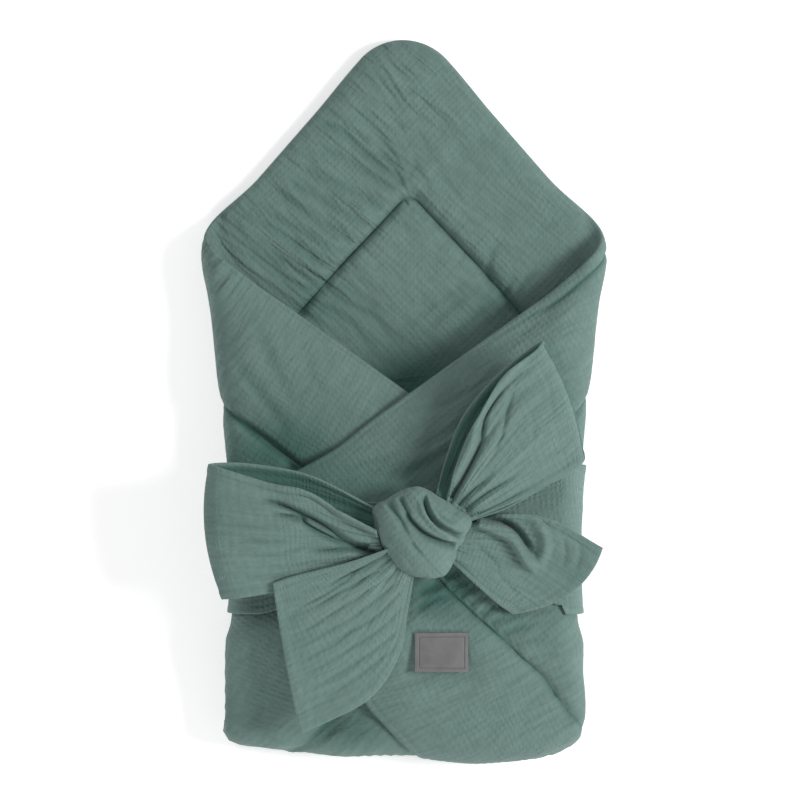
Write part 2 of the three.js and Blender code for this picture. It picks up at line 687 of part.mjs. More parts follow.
function stripGeometry(strip, isLoop) {
  const surface = stripSurface(strip);
  const trimmed = (s, w) => {
    const line = clamp(w, 0, 1);
    const start = leavesKnot(surface, line, 0);
    const end = isLoop ? leavesKnot(surface, line, 1) : 1;
    return surface(THREE.MathUtils.lerp(start, end, clamp(s, 0, 1)), line);
  };
  return sheetGeometry((strip.rows.length - 1) * STRIP.perRow, STRIP.across, trimmed, SASH_THICK);
}

// The plane that lies on the right flap under the patch: height at its middle and its two slopes
function patchSeat(cloud) {
  const around = cloud.filter((point) => Math.abs(point.x - PATCH.x) < PATCH.width / 2 + 3
    && Math.abs(point.y - PATCH.y) < PATCH.height / 2 + 3 && point.z > BAND.high);
  const sum = (value) => around.reduce((total, point) => total + value(point), 0);
  const middle = {
    x: sum((point) => point.x) / around.length,
    y: sum((point) => point.y) / around.length,
    z: sum((point) => point.z) / around.length,
  };
  const slope = (axis) => sum((point) => (point[axis] - middle[axis]) * (point.z - middle.z))
    / sum((point) => (point[axis] - middle[axis]) ** 2);
  const across = slope('x');
  const along = slope('y');
  const plane = (x, y) => middle.z + across * (x - middle.x) + along * (y - middle.y);
  const highest = Math.max(...around.map((point) => point.z - plane(point.x, point.y)));
  return { z: plane(PATCH.x, PATCH.y) + highest + PATCH.gap, across, along };
}

// A rounded rectangle's corner points, inset from the patch's outline
function patchRing(inset) {
  const radius = Math.max(PATCH.corner - inset, 0.4);
  const x = PATCH.width / 2 - inset - radius;
  const y = PATCH.height / 2 - inset - radius;
  const corners = [[x, y], [-x, y], [-x, -y], [x, -y]];
  return corners.flatMap(([cx, cy], k) => {
    const points = [];
    for (let i = 0; i <= PATCH.cornerSteps; i += 1) {
      const turn = (k + i / PATCH.cornerSteps) * Math.PI / 2;
      points.push([cx + radius * Math.cos(turn), cy + radius * Math.sin(turn)]);
    }
    return points;
  });
}

function patchGeometry() {
  const shell = new Shell();
  const rings = PATCH_PROFILE.map(({ inset, z }) => patchRing(inset).map(([x, y]) => (
    shell.add(new THREE.Vector3(x, y, z)))));
  const count = rings[0].length;
  const caps = [rings[0], rings[rings.length - 1]].map((ring) => {
    const z = shell.points[ring[0]].z;
    return shell.add(new THREE.Vector3(0, 0, z));
  });
  for (let i = 0; i < count; i += 1) {
    const n = (i + 1) % count;
    for (let k = 0; k < rings.length - 1; k += 1) {
      shell.quad(rings[k][i], rings[k][n], rings[k + 1][n], rings[k + 1][i]);
    }
    shell.triangles.push([caps[0], rings[0][n], rings[0][i]]);
    shell.triangles.push([caps[1], rings[rings.length - 1][i], rings[rings.length - 1][n]]);
  }
  return shell.geometry();
}

const group = new THREE.Group();

function addPiece(name, geometry, look) {
  const mesh = new THREE.Mesh(geometry, new THREE.MeshStandardMaterial(look));
  mesh.name = name;
  group.add(mesh);
  return mesh;
}

const cloud = quiltCloud();
addPiece('quilt', quiltGeometry(), CLOTH);
addPiece('sash_band', bandGeometry(cloud), SASH_CLOTH);
addPiece('bow_knot', knotGeometry(), SASH_CLOTH);
addPiece('bow_left_loop', stripGeometry(LEFT_LOOP, true), SASH_CLOTH);
addPiece('bow_right_loop', stripGeometry(RIGHT_LOOP, true), SASH_CLOTH);
addPiece('bow_left_tail', stripGeometry(LEFT_TAIL, false), SASH_CLOTH);
addPiece('bow_right_tail', stripGeometry(RIGHT_TAIL, false), SASH_CLOTH);

const patch = addPiece('patch', patchGeometry(), LABEL);
const seat = patchSeat(cloud);
patch.position.set(PATCH.x, PATCH.y, seat.z);
patch.rotation.set(Math.atan(seat.along), -Math.atan(seat.across), 0);

// The origin goes under the middle of the outline
const outline = new THREE.Box3().setFromObject(group);
const centre = outline.getCenter(new THREE.Vector3());
group.position.set(-centre.x, -centre.y, -outline.min.z);

export default group;
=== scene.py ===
"""Looks of a rolled swaddle wrap: a padded square of double gauze, folded round a pocket and tied.

Sizes and places are in millimetres in the design's frame, and become metres when a mesh is made. The quilt is
the flat square, folded by one map. The sash is gathered cloth, given by its two hems. Creases are drawn on
the sight plane, where the camera sees them.
"""

import logging
import math
from dataclasses import dataclass, field
from enum import Enum
from typing import Any

import bmesh
import bpy
import numpy as np
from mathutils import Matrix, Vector

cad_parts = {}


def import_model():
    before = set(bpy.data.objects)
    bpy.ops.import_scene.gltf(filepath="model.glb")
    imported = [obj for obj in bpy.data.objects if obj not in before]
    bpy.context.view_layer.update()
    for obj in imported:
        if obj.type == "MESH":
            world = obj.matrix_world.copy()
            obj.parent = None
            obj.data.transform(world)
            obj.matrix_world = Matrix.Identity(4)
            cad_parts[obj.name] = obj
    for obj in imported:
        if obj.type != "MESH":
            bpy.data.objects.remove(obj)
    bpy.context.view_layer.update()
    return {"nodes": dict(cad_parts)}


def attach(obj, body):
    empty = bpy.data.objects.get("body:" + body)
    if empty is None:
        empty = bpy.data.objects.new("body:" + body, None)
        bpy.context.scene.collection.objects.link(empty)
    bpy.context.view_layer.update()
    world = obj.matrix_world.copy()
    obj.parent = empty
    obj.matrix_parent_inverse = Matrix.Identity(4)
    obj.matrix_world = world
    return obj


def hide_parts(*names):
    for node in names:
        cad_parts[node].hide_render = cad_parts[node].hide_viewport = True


MM = 0.001  # metres in a millimetre
ORIGIN = np.array((1.29, 0.64, 0.0))  # from the middle of the design to the middle of the whole outline
CAMERA = np.array((-4.2, -0.4, 4000.0))
SIGHT_Z = 60.0  # the sight plane's height: a millimetre there is a pixel of the 800-pixel picture
PICTURE_SIDE = 800.0
SENSOR = 36.0
BAND_MIDDLE = -140.0  # the band's middle line, along the wrap
BAND_WIDTH = 148.0
TINY = 1e-9

log = logging.getLogger("swaddle_wrap")


def smooth(low: float, high: float, value: np.ndarray) -> np.ndarray:
    """Returns 0 below low, 1 above high, and a soft step between them."""
    t = np.clip((value - low) / (high - low), 0.0, 1.0)
    return t * t * (3.0 - 2.0 * t)


def softplus(value: np.ndarray, width: float) -> np.ndarray:
    """Returns value where it is well above 0 and 0 where it is well below, with a bend of that width."""
    return np.maximum(value, 0.0) + width * np.log1p(np.exp(-np.abs(value) / width))


def unit(vectors: np.ndarray) -> np.ndarray:
    """Returns the vectors at length 1."""
    return vectors / np.maximum(np.linalg.norm(vectors, axis=-1, keepdims=True), TINY)


class SmoothNoise:
    """Repeatable noise over a plane, from -1 to 1, with one swell for each unit."""

    SIZE = 256
    WANDER = 0.55  # how far a ridge strays from its line, in ridges
    SHARPNESS = 0.004  # of the troughs: less is sharper
    MEAN = 0.45

    def __init__(self, seed: int) -> None:
        """Draws the table of random heights.

        Args:
            seed: Picks the table.
        """
        self.table = np.random.default_rng(seed).uniform(-1.0, 1.0, (self.SIZE, self.SIZE))

    def at(self, u: np.ndarray, v: np.ndarray) -> np.ndarray:
        """Reads the noise.

        Args:
            u: First coordinates, in swells.
            v: Second coordinates.

        Returns:
            The noise at each place.
        """
        i, j = np.floor(u).astype(int), np.floor(v).astype(int)
        fu, fv = smooth(0.0, 1.0, u - i), smooth(0.0, 1.0, v - j)
        n = self.SIZE
        near = self.table[i % n, j % n] * (1.0 - fu) + self.table[(i + 1) % n, j % n] * fu
        far = self.table[i % n, (j + 1) % n] * (1.0 - fu) + self.table[(i + 1) % n, (j + 1) % n] * fu
        return near * (1.0 - fv) + far * fv

    def crinkles(self, across: np.ndarray, along: np.ndarray, pitch: float, length: float) -> np.ndarray:
        """Rounded ridges with sharp troughs between them, as crinkled gauze has.

        Args:
            across: Places across the crinkles.
            along: Places along them.
            pitch: Width of a ridge.
            length: How far a ridge runs.

        Returns:
            Heights from about -0.5 to 0.5.
        """
        drift = self.WANDER * self.at(across / (4.0 * pitch) + 31.7, along / length + 5.3)
        swell = self.at(across / pitch + drift, along / length)
        return np.sqrt(swell**2 + self.SHARPNESS) - self.MEAN


@dataclass(frozen=True)
class Crinkle:
    """One kind of crinkle: how wide, how long and how high its ridges are."""

    pitch: float
    length: float
    height: float

    def on(self, noise: SmoothNoise, across: np.ndarray, along: np.ndarray) -> np.ndarray:
        """Returns its heights at places across and along the cloth."""
        return self.height * noise.crinkles(across, along, self.pitch, self.length)


def seen(points: np.ndarray) -> np.ndarray:
    """Returns where the camera sees the points, as places on the sight plane."""
    grow = (CAMERA[2] - SIGHT_Z) / (CAMERA[2] - points[..., 2:3])
    return CAMERA[:2] + (points[..., :2] - CAMERA[:2]) * grow


def smooth_line(line: tuple[tuple[float, float], ...], steps: int = 6) -> np.ndarray:
    """Draws a smooth curve through a few places.

    Args:
        line: The places.
        steps: How many points the curve has from one place to the next.

    Returns:
        The curve's points, a row for each.
    """
    places = np.array(line, float)
    padded = np.vstack([2.0 * places[0] - places[1], places, 2.0 * places[-1] - places[-2]])
    curve = []
    for k in range(len(places) - 1):
        p0, p1, p2, p3 = padded[k : k + 4]
        square = 2 * p0 - 5 * p1 + 4 * p2 - p3
        cube = 3 * p1 - p0 - 3 * p2 + p3
        for t in np.arange(steps) / steps:
            curve.append(0.5 * (2 * p1 + (p2 - p0) * t + square * t**2 + cube * t**3))
    return np.array([*curve, places[-1]])


@dataclass(frozen=True)
class Crease:
    """A trough that a fold leaves in cloth, or a ridge if its depth is negative.

    line holds its places on the sight plane, and left and right say how far its slopes reach to either side.
    fade says over which first and last shares of its length it comes up and dies away.
    """

    line: tuple[tuple[float, float], ...]
    depth: float
    left: float
    right: float
    fade: tuple[float, float] = (0.3, 0.4)

    def height(self, places: np.ndarray) -> np.ndarray:
        """Works out how far the crease lifts the cloth.

        Args:
            places: Places on the sight plane, a row for each.

        Returns:
            The lift at each place.
        """
        path = smooth_line(self.line)
        reach = max(self.left, self.right)
        low, high = path.min(0) - reach, path.max(0) + reach
        near = np.all((places > low) & (places < high), axis=1)
        spots = places[near]
        lengths = np.linalg.norm(np.diff(path, axis=0), axis=1)
        walked = np.concatenate([[0.0], np.cumsum(lengths)])
        best, side, share = np.full(len(spots), 1e9), np.ones(len(spots)), np.zeros(len(spots))
        for k, length in enumerate(lengths):
            way = (path[k + 1] - path[k]) / length
            away = spots - path[k]
            t = np.clip(away @ way, 0.0, length)
            off = away - t[:, None] * way
            distance = np.hypot(off[:, 0], off[:, 1])
            closer = distance < best
            best = np.where(closer, distance, best)
            side = np.where(closer, np.sign(way[0] * away[:, 1] - way[1] * away[:, 0]), side)
            share = np.where(closer, (walked[k] + t) / walked[-1], share)
        t = np.clip(best / np.where(side > 0, self.left, self.right), 0.0, 1.0)
        form = (1.0 - t) ** 2 * (1.0 + t) if self.depth > 0 else (1.0 - t * t) ** 2
        ends = smooth(0.0, self.fade[0] + TINY, share) * (1.0 - smooth(1.0 - self.fade[1] - TINY, 1.0, share))
        lift = np.zeros(len(places))
        lift[near] = -self.depth * form * ends
        return lift


def crease_lift(points: np.ndarray, creases: tuple[Crease, ...]) -> np.ndarray:
    """Adds up a piece's creases.

    Args:
        points: The piece's points, which may be a grid.
        creases: The creases.

    Returns:
        How far they together lift each point.
    """
    flat = seen(points.reshape(-1, 3))
    total = np.zeros(len(flat))
    for crease in creases:
        total += crease.height(flat)
    return total.reshape(points.shape[:-1])


# Creases, where the camera sees them on the sight plane
HOOD_CREASES = (
    Crease(((-92, 277), (-67, 273), (-48, 255), (-23, 234), (-8, 224), (1, 213)), 4.3, 5, 9, (0.15, 0.3)),
    Crease(((-35, 334), (-24, 324), (-12, 312), (-2, 296)), 1.2, 5, 9),
    Crease(((-33, 263), (-16, 240), (1, 214)), 3.4, 5, 9, (0.4, 0.1)),
    Crease(((-56, 296), (-36, 278), (-12, 248), (0, 222)), 1.8, 5, 9, (0.3, 0.2)),
    Crease(((-99, 262), (-57, 240), (-18, 216), (-6, 206)), 3.1, 5, 9, (0.3, 0.1)),
    Crease(((-119, 243), (-82, 223), (-54, 210), (-33, 199), (-16, 188)), 3.7, 5, 9, (0.3, 0.1)),
    Crease(((-133, 233), (-99, 211), (-57, 184), (-32, 171)), 3.4, 5, 9, (0.3, 0.1)),
    Crease(((-146, 221), (-106, 194), (-67, 167), (-46, 154)), 4.3, 5, 9, (0.3, 0.1)),
    Crease(((-160, 209), (-123, 179), (-87, 160), (-58, 142)), 3.5, 5, 9, (0.3, 0.1)),
    Crease(((-166, 194), (-136, 174), (-106, 155), (-74, 128)), 4.3, 5, 9, (0.2, 0.2)),
    Crease(((-173, 178), (-158, 160), (-139, 144), (-114, 126)), 3.7, 5, 9, (0.3, 0.3)),
    Crease(((-158, 155), (-132, 132), (-109, 115), (-87, 109)), 4.6, 5, 9, (0.2, 0.1)),
    Crease(((-125, 167), (-99, 147), (-70, 131)), 3.1, 5, 9, (0.3, 0.1)),
    Crease(((-148, 162), (-120, 139), (-94, 121), (-80, 116)), 3.4, 5, 9, (0.3, 0.1)),
    Crease(((-82, 116), (-56, 96), (-30, 83), (-14, 65), (4, 54)), 3.1, 5, 9, (0.1, 0.4)),
    Crease(((-70, 120), (-45, 104), (-20, 86), (-6, 78)), 2.0, 5, 9, (0.1, 0.4)),
    Crease(((-88, 97), (-61, 83), (-35, 58), (-20, 48)), 2.5, 5, 9, (0.1, 0.4)),
    Crease(((-59, 138), (-36, 116), (-12, 100)), 1.7, 5, 9, (0.1, 0.5)),
    Crease(((67, 119), (43, 102), (16, 83), (-4, 66)), 2.2, 5, 9),
    Crease(((70, 109), (37, 83), (11, 57)), 2.5, 5, 9),
    Crease(((96, 102), (66, 78), (36, 50)), 2.2, 5, 9),
    Crease(((104, 164), (89, 148), (85, 128), (90, 112)), 2.8, 5, 9, (0.4, 0.2)),
    Crease(((115, 127), (105, 112), (102, 100)), 2.8, 5, 9, (0.4, 0.2)),
    Crease(((137, 132), (120, 116), (112, 100)), 2.8, 5, 9, (0.4, 0.2)),
    Crease(((162, 182), (144, 172), (128, 160)), 2.0, 5, 9),
    Crease(((26, 304), (48, 270), (76, 230), (106, 195)), 1.0, 5, 9, (0.3, 0.4)),
    Crease(((10, 282), (24, 250), (42, 220), (66, 190)), 1.0, 5, 9, (0.3, 0.4)),
    Crease(((6, 250), (16, 228), (30, 206)), 2.2, 5, 9, (0.3, 0.3)),
    Crease(((66, 280), (96, 240), (126, 205)), 0.7, 5, 9, (0.3, 0.4)),
)
LEFT_FLAP_CREASES = (
    Crease(((-154, 100), (-142, 60), (-124, 20), (-104, -20)), 2.1, 12, 12, (0.4, 0.4)),
    Crease(((-104, 70), (-94, 30), (-76, -5)), 1.6, 9, 9, (0.4, 0.4)),
    Crease(((-178, 55), (-158, 22), (-132, -12), (-112, -44)), 2.9, 14, 10, (0.4, 0.3)),
    Crease(((-182, -8), (-160, -23), (-132, -44), (-104, -67)), 4.7, 5, 9, (0.1, 0.0)),
)
RIGHT_FLAP_CREASES = (
    Crease(((-14, -82), (26, -62), (66, -40), (96, -20)), 2.9, 10, 8, (0.2, 0.4)),
    Crease(((-4, -56), (42, -34), (86, -4), (120, 20)), 2.1, 8, 7, (0.3, 0.4)),
    Crease(((24, -14), (66, 8), (111, 38)), 1.8, 7, 7),
    Crease(((-74, -74), (-38, -64), (-4, -52)), 1.8, 6, 7),
    Crease(((72, 36), (116, 64), (156, 94)), 1.6, 6, 7),
    Crease(((39, -179), (52, -174), (64, -174)), 5.7, 5, 7, (0.1, 0.5)),
    Crease(((46, -190), (60, -183), (78, -180)), 5.7, 5, 7, (0.1, 0.5)),
    Crease(((54, -198), (68, -190), (88, -188)), 6.2, 5, 7, (0.1, 0.5)),
    Crease(((63, -206), (80, -198), (101, -197)), 5.7, 5, 7, (0.1, 0.5)),
    Crease(((74, -216), (92, -208), (114, -206)), 5.7, 5, 7, (0.1, 0.5)),
    Crease(((84, -225), (104, -217), (126, -216)), 4.4, 5, 7, (0.1, 0.5)),
    Crease(((96, -236), (116, -228), (136, -228)), 3.6, 5, 7, (0.1, 0.5)),
    Crease(((109, -248), (128, -241), (148, -242)), 2.3, 5, 7, (0.1, 0.5)),
    Crease(((122, -261), (140, -255), (158, -257)), 2.1, 5, 7, (0.1, 0.5)),
    Crease(((13, -196), (26, -188), (38, -180)), 5.2, 5, 7, (0.2, 0.3)),
    Crease(((10, -212), (26, -202), (48, -194)), 4.7, 5, 7, (0.2, 0.4)),
)
LEFT_LOOP_CREASES = (
    Crease(
        ((-152, -99), (-125, -106), (-99, -117), (-76, -130), (-56, -143), (-36, -150)),
        11.2, 8, 4, (0.3, 0.0),
    ),
    Crease(
        ((-142, -113), (-107, -117), (-96, -125), (-66, -141), (-48, -149), (-26, -153)),
        9.8, 4, 8, (0.3, 0.0),
    ),
    Crease(
        ((-148, -87), (-116, -89), (-94, -92), (-78, -101), (-58, -116), (-26, -133)),
        -6.4, 7, 6, (0.3, 0.0),
    ),
    Crease(((-104, -152), (-76, -150), (-54, -149), (-30, -152)), 5.6, 5, 6, (0.4, 0.0)),
    Crease(((-156, -163), (-124, -167), (-94, -162), (-64, -156)), 2.2, 4, 6),
    Crease(((-178, -136), (-142, -141), (-104, -141)), 1.7, 4, 5),
    Crease(((-182, -120), (-154, -125), (-114, -127)), 1.7, 4, 5),
    Crease(((-176, -152), (-142, -155), (-104, -149), (-74, -146)), 2.0, 4, 5),
    Crease(((-168, -176), (-142, -177), (-114, -173)), 2.0, 4, 5),
)
RIGHT_LOOP_CREASES = (
    Crease(
        ((132, 50), (106, 28), (87, 4), (74, -20), (66, -44), (54, -70), (42, -92)),
        -7.0, 7, 6, (0.3, 0.1),
    ),
    Crease(((108, 20), (93, 2), (81, -18), (78, -40), (66, -68), (48, -100)), 5.9, 4, 9, (0.3, 0.0)),
    Crease(((53, -105), (66, -92), (81, -80), (93, -66)), 4.2, 4, 7, (0.0, 0.5)),
    Crease(((60, -110), (76, -97), (100, -82), (124, -66)), 4.8, 4, 7, (0.0, 0.5)),
    Crease(((72, -114), (102, -100), (136, -78)), 2.8, 4, 6, (0.0, 0.5)),
    Crease(((112, 20), (104, -10), (96, -40), (78, -72)), 2.5, 4, 7),
    Crease(((141, 28), (148, -4), (152, -36)), 0.7, 5, 6),
    Crease(((126, 0), (130, -30), (126, -56)), 0.7, 5, 6),
)
LEFT_TAIL_CREASES = (
    Crease(((-16, -153), (-35, -163), (-58, -175), (-82, -188)), 5.1, 7, 3, (0.0, 0.5)),
    Crease(((-43, -169), (-66, -186), (-97, -204), (-118, -212)), 2.0, 5, 3, (0.2, 0.4)),
    Crease(((-20, -169), (-35, -176), (-71, -196), (-107, -218)), 2.2, 5, 3, (0.1, 0.4)),
    Crease(((-12, -174), (-56, -203), (-94, -226), (-116, -236)), 2.4, 5, 3, (0.1, 0.4)),
    Crease(((-5, -180), (-45, -212), (-86, -236), (-112, -250)), 2.0, 5, 3, (0.1, 0.4)),
    Crease(((1, -186), (-30, -217), (-66, -238), (-108, -264)), 2.2, 5, 3, (0.1, 0.4)),
    Crease(((4, -200), (-24, -228), (-64, -254), (-108, -280)), 2.0, 5, 3, (0.2, 0.4)),
    Crease(((1, -222), (-24, -245), (-60, -270), (-104, -296)), 1.9, 5, 3, (0.2, 0.4)),
    Crease(((-4, -242), (-28, -262), (-64, -288), (-98, -310)), 1.7, 5, 3, (0.2, 0.4)),
)
RIGHT_TAIL_CREASES = (
    Crease(
        ((68, -124), (86, -130), (107, -141), (116, -154), (123, -165), (135, -174)),
        -10.4, 14, 4, (0.1, 0.2),
    ),
    Crease(((72, -119), (93, -122), (110, -130), (122, -146), (129, -162)), 14.3, 8, 6, (0.0, 0.3)),
    Crease(((120, -118), (137, -129), (142, -145), (138, -160), (130, -172)), -6.5, 7, 9, (0.3, 0.3)),
    Crease(((66, -140), (84, -156), (100, -174)), 2.1, 5, 5),
    Crease(((156, -132), (162, -152), (156, -172)), 1.8, 5, 5),
    Crease(((174, -140), (176, -156), (170, -172)), 1.6, 4, 5),
    Crease(((88, -170), (104, -186), (118, -198)), 1.6, 5, 5),
)
KNOT_CREASES = (
    Crease(((0, -108), (5, -117), (16, -129), (28, -137), (42, -143), (52, -145)), 10.3, 3, 9, (0.15, 0.0)),
    Crease(
        ((20, -92), (24, -106), (30, -117), (39, -126), (49, -131), (58, -135)),
        10.3, 2.5, 7, (0.1, 0.0),
    ),
    Crease(((-18, -101), (-12, -110), (-5, -121), (1, -132), (8, -140)), 5.2, 6, 6, (0.1, 0.5)),
    Crease(((-5, -96), (0, -107), (5, -116)), 5.8, 5, 5, (0.1, 0.2)),
    Crease(((5, -141), (11, -150), (20, -158)), 2.1, 5, 5),
    Crease(((36, -100), (46, -110), (60, -120)), 1.8, 4, 4),
    Crease(((32, -112), (42, -120), (52, -125)), 2.3, 3, 4),
    Crease(((14, -100), (20, -116), (32, -130), (48, -139)), -2.5, 4, 4, (0.2, 0.1)),
)


@dataclass
class Shell:
    """Points, faces and flat-cloth places collected until they make one mesh."""

    points: list[np.ndarray] = field(default_factory=list)
    cloth: list[np.ndarray] = field(default_factory=list)
    painted_shade: list[np.ndarray] = field(default_factory=list)
    faces: list[np.ndarray] = field(default_factory=list)
    count: int = 0

    def add_grid(self, points: np.ndarray, cloth: np.ndarray, painted_shade: np.ndarray | None = None) -> np.ndarray:
        """Adds a grid of points.

        Args:
            points: Places in space, rows by columns by 3.
            cloth: The same points' places on the flat cloth, rows by columns by 2.
            painted_shade: Painted shade at each point, from 0 to 1, put where the cloth lies in a fold or a
                seam, or None for 0 all over.

        Returns:
            The points' numbers, rows by columns.
        """
        rows, columns = points.shape[:2]
        numbers = self.count + np.arange(rows * columns).reshape(rows, columns)
        self.points.append(points.reshape(-1, 3))
        self.cloth.append(cloth.reshape(-1, 2))
        self.painted_shade.append(np.zeros(rows * columns) if painted_shade is None else np.clip(painted_shade, 0.0, 1.0).ravel())
        self.count += rows * columns
        return numbers

    def skin(self, numbers: np.ndarray, flip: bool = False) -> None:
        """Covers a grid with faces.

        Args:
            numbers: The points' numbers, rows by columns.
            flip: Whether the faces are turned over.
        """
        a, b, c, d = numbers[:-1, :-1], numbers[1:, :-1], numbers[1:, 1:], numbers[:-1, 1:]
        order = (a, d, c, b) if flip else (a, b, c, d)
        self.faces.append(np.stack(order, axis=-1).reshape(-1, 4))

    def wall(self, edge: np.ndarray, other: np.ndarray, flip: bool = False) -> None:
        """Joins two rows of point numbers with a strip of faces."""
        self.skin(np.stack([edge, other]), flip)

    def make(self, name: str, material: bpy.types.Material) -> bpy.types.Object:
        """Makes the mesh and its object.

        Args:
            name: Name of the piece.
            material: Its finish.

        Returns:
            The object, at the origin, in metres, with its cloth places as a UV map in metres.
        """
        mesh = bpy.data.meshes.new(name)
        faces = np.concatenate(self.faces)
        mesh.from_pydata((np.concatenate(self.points) * MM).tolist(), [], faces.tolist())
        layer = mesh.uv_layers.new(name="cloth")
        corners = self.corners(mesh)
        layer.data.foreach_set("uv", (np.concatenate(self.cloth) * MM)[corners].ravel())
        # painted shade: this attribute holds how much darker each point's colour is painted in folds and
        # seams
        fold = mesh.attributes.new("painted_shade", "FLOAT", "POINT")
        fold.data.foreach_set("value", np.concatenate(self.painted_shade).astype(np.float32))
        build = bmesh.new()
        build.from_mesh(mesh)
        bmesh.ops.remove_doubles(build, verts=build.verts, dist=1e-7)
        bmesh.ops.recalc_face_normals(build, faces=build.faces)
        if build.calc_volume(signed=True) < 0:
            bmesh.ops.reverse_faces(build, faces=build.faces)
        build.to_mesh(mesh)
        build.free()
        mesh.polygons.foreach_set("use_smooth", np.ones(len(mesh.polygons), bool))
        mesh.materials.append(material)
        piece = bpy.data.objects.new(name, mesh)
        bpy.context.scene.collection.objects.link(piece)
        return piece

    @staticmethod
    def corners(mesh: bpy.types.Mesh) -> np.ndarray:
        """Reads which point is at each corner of each face.

        Args:
            mesh: The mesh.

        Returns:
            The points' numbers, in the order of the corners.
        """
        corners = np.zeros(len(mesh.loops), np.int32)
        mesh.loops.foreach_get("vertex_index", corners)
        return corners


@dataclass(frozen=True)
class PaintedShadeSpot:
    """A place in the folds of the wrap, in plan, where little light comes and painted shade darkens the
    gauze.
    """

    x: float
    y: float
    reach_x: float
    reach_y: float
    share: float

    def at(self, points: np.ndarray) -> np.ndarray:
        """Works out how much painted shade it puts on the cloth.

        Args:
            points: Points of the cloth, which may be a grid.

        Returns:
            A share from 0 to 1 for each point.
        """
        off_x = (points[..., 0] - self.x) / self.reach_x
        off_y = (points[..., 1] - self.y) / self.reach_y
        return self.share * np.exp(-(off_x**2 + off_y**2))


class Side(Enum):
    """Which part of the folded square a point is on."""

    BACK = 0
    LEFT = -1
    RIGHT = 1


@dataclass(frozen=True)
class FoldMap:
    """The map from the flat square to the folded wrap, with the sizes of the part's source."""

    half_side: float = 386.0
    half_seam: float = 258.0
    outer_corner: float = 66.0
    seam_corner: float = 14.0
    tip: tuple[float, float] = (-2.0, 392.0)
    bias: tuple[float, float] = (0.955, 1.045)  # across and along its diagonal
    lean: float = math.radians(6.0)
    top_y: float = 160.0
    folds: tuple[float, float] = (180.5, 177.0)
    bulges: tuple[float, float] = (17.0, 18.0)
    pressed_bulge: float = 6.5
    pressed: tuple[float, float] = (-335.0, -215.0)
    end_y: float = -338.9
    half_width: float = 178.0
    axis: float = -6.2  # height of the end's turn, from the middle of the back
    pocket: float = 28.5
    layer: float = 10.5
    pressed_over: float = 5.0
    edge_start: tuple[float, float] = (-189.5, 137.0)  # where the left flap's upper edge starts
    edge_slope: float = 0.653  # how steeply that edge falls to the right
    back_rise: float = 11.0  # height of the back's middle where nothing lies under it
    tip_rise: float = 9.0  # how much the tip of the turned-under end lifts it
    end_rise: float = 13.0  # how much the whole of that end does
    right_rise: float = 4.0  # how much more it does on the right
    swing: tuple[float, float] = (38.0, 20.0)  # how far the end's middle goes right, and back past its turn

    def rounded(self, p: np.ndarray, q: np.ndarray) -> tuple[np.ndarray, np.ndarray]:
        """Moves points of a square grid so that each ring round the middle has round corners.

        Args:
            p: First coordinates on the flat square.
            q: Second coordinates.

        Returns:
            Their new coordinates.
        """
        ring = np.maximum(np.abs(p), np.abs(q))
        share = np.clip((ring - self.half_seam) / (self.half_side - self.half_seam), 0.0, 1.0)
        radius = self.seam_corner + (self.outer_corner - self.seam_corner) * share
        radius = np.where(ring < self.half_seam, self.seam_corner * ring / self.half_seam, radius)
        small = np.minimum(np.abs(p), np.abs(q))
        straight = ring - radius
        angle = np.clip((small - straight) / np.maximum(radius, TINY), 0.0, 1.0) * math.pi / 4.0
        is_round = small > straight
        long = np.where(is_round, straight + radius * np.cos(angle), ring)
        short = np.where(is_round, straight + radius * np.sin(angle), small)
        p_is_long = np.abs(p) >= np.abs(q)
        return np.sign(p) * np.where(p_is_long, long, short), np.sign(q) * np.where(p_is_long, short, long)

    def levels(self, x: np.ndarray, y: np.ndarray) -> tuple[np.ndarray, np.ndarray]:
        """Works out how high the flaps lie.

        Args:
            x: Places across the wrap.
            y: Places along it.

        Returns:
            The heights of the left and right flaps above the back.
        """
        is_open = smooth(*self.pressed, y)
        left = self.layer + self.pocket * is_open
        below = self.below_edge(x, y)
        covered = 0.62 * smooth(-60.0, 5.0, below) + 0.38 * smooth(-5.0, 25.0, below)
        return left, left + (self.layer + self.pressed_over * is_open) * covered

    def below_edge(self, x: np.ndarray, y: np.ndarray) -> np.ndarray:
        """Returns how far places lie below the line of the left flap's upper edge."""
        line = self.edge_start[1] - self.edge_slope * (x - self.edge_start[0])
        return (line - y) / math.hypot(1.0, self.edge_slope)

    def back_height(self, x: np.ndarray, y: np.ndarray) -> np.ndarray:
        """Works out how the back lies on the turned-under end.

        Args:
            x: Places across the wrap.
            y: Places along it.

        Returns:
            The height of the middle of its cloth.
        """
        on_tip = self.tip_rise * (1.0 - smooth(5.0, 90.0, y))
        on_end = self.end_rise * (1.0 - smooth(-150.0, -40.0, y))
        on_right = self.right_rise * smooth(10.0, 110.0, x) * (1.0 - smooth(-190.0, -110.0, y))
        return self.back_rise + on_tip + on_end + on_right

    def width_share(self, y: np.ndarray) -> np.ndarray:
        """Works out how much the wrap spreads at its end, and narrows at the band and beside the tip.

        Args:
            y: Places along the wrap.

        Returns:
            Its width there, as a share of the width that its folds give.
        """
        spread = 0.0009 * softplus(-100.0 - y, 25.0) + 0.0013 * softplus(-235.0 - y, 12.0)
        spread = spread - 0.0024 * softplus(self.end_y - y, 15.0)
        waist = 0.035 * smooth(-246.0, -222.0, y) * (1.0 - smooth(-170.0, -45.0, y))
        corners = 0.022 * np.exp(-(((y - 140.0) / 32.0) ** 2))
        pull = 0.045 * smooth(180.0, 225.0, y) * (1.0 - smooth(290.0, 350.0, y))
        return 1.0 + spread - waist + corners - pull

    def end_line(self, x: np.ndarray) -> np.ndarray:
        """Returns where the bottom end is turned under."""
        aside = np.clip(x / self.half_width, -1.1, 1.1)
        return self.end_y + 14.0 * np.abs(aside) ** 2.6 + 7.0 * np.maximum(aside, 0.0) ** 9

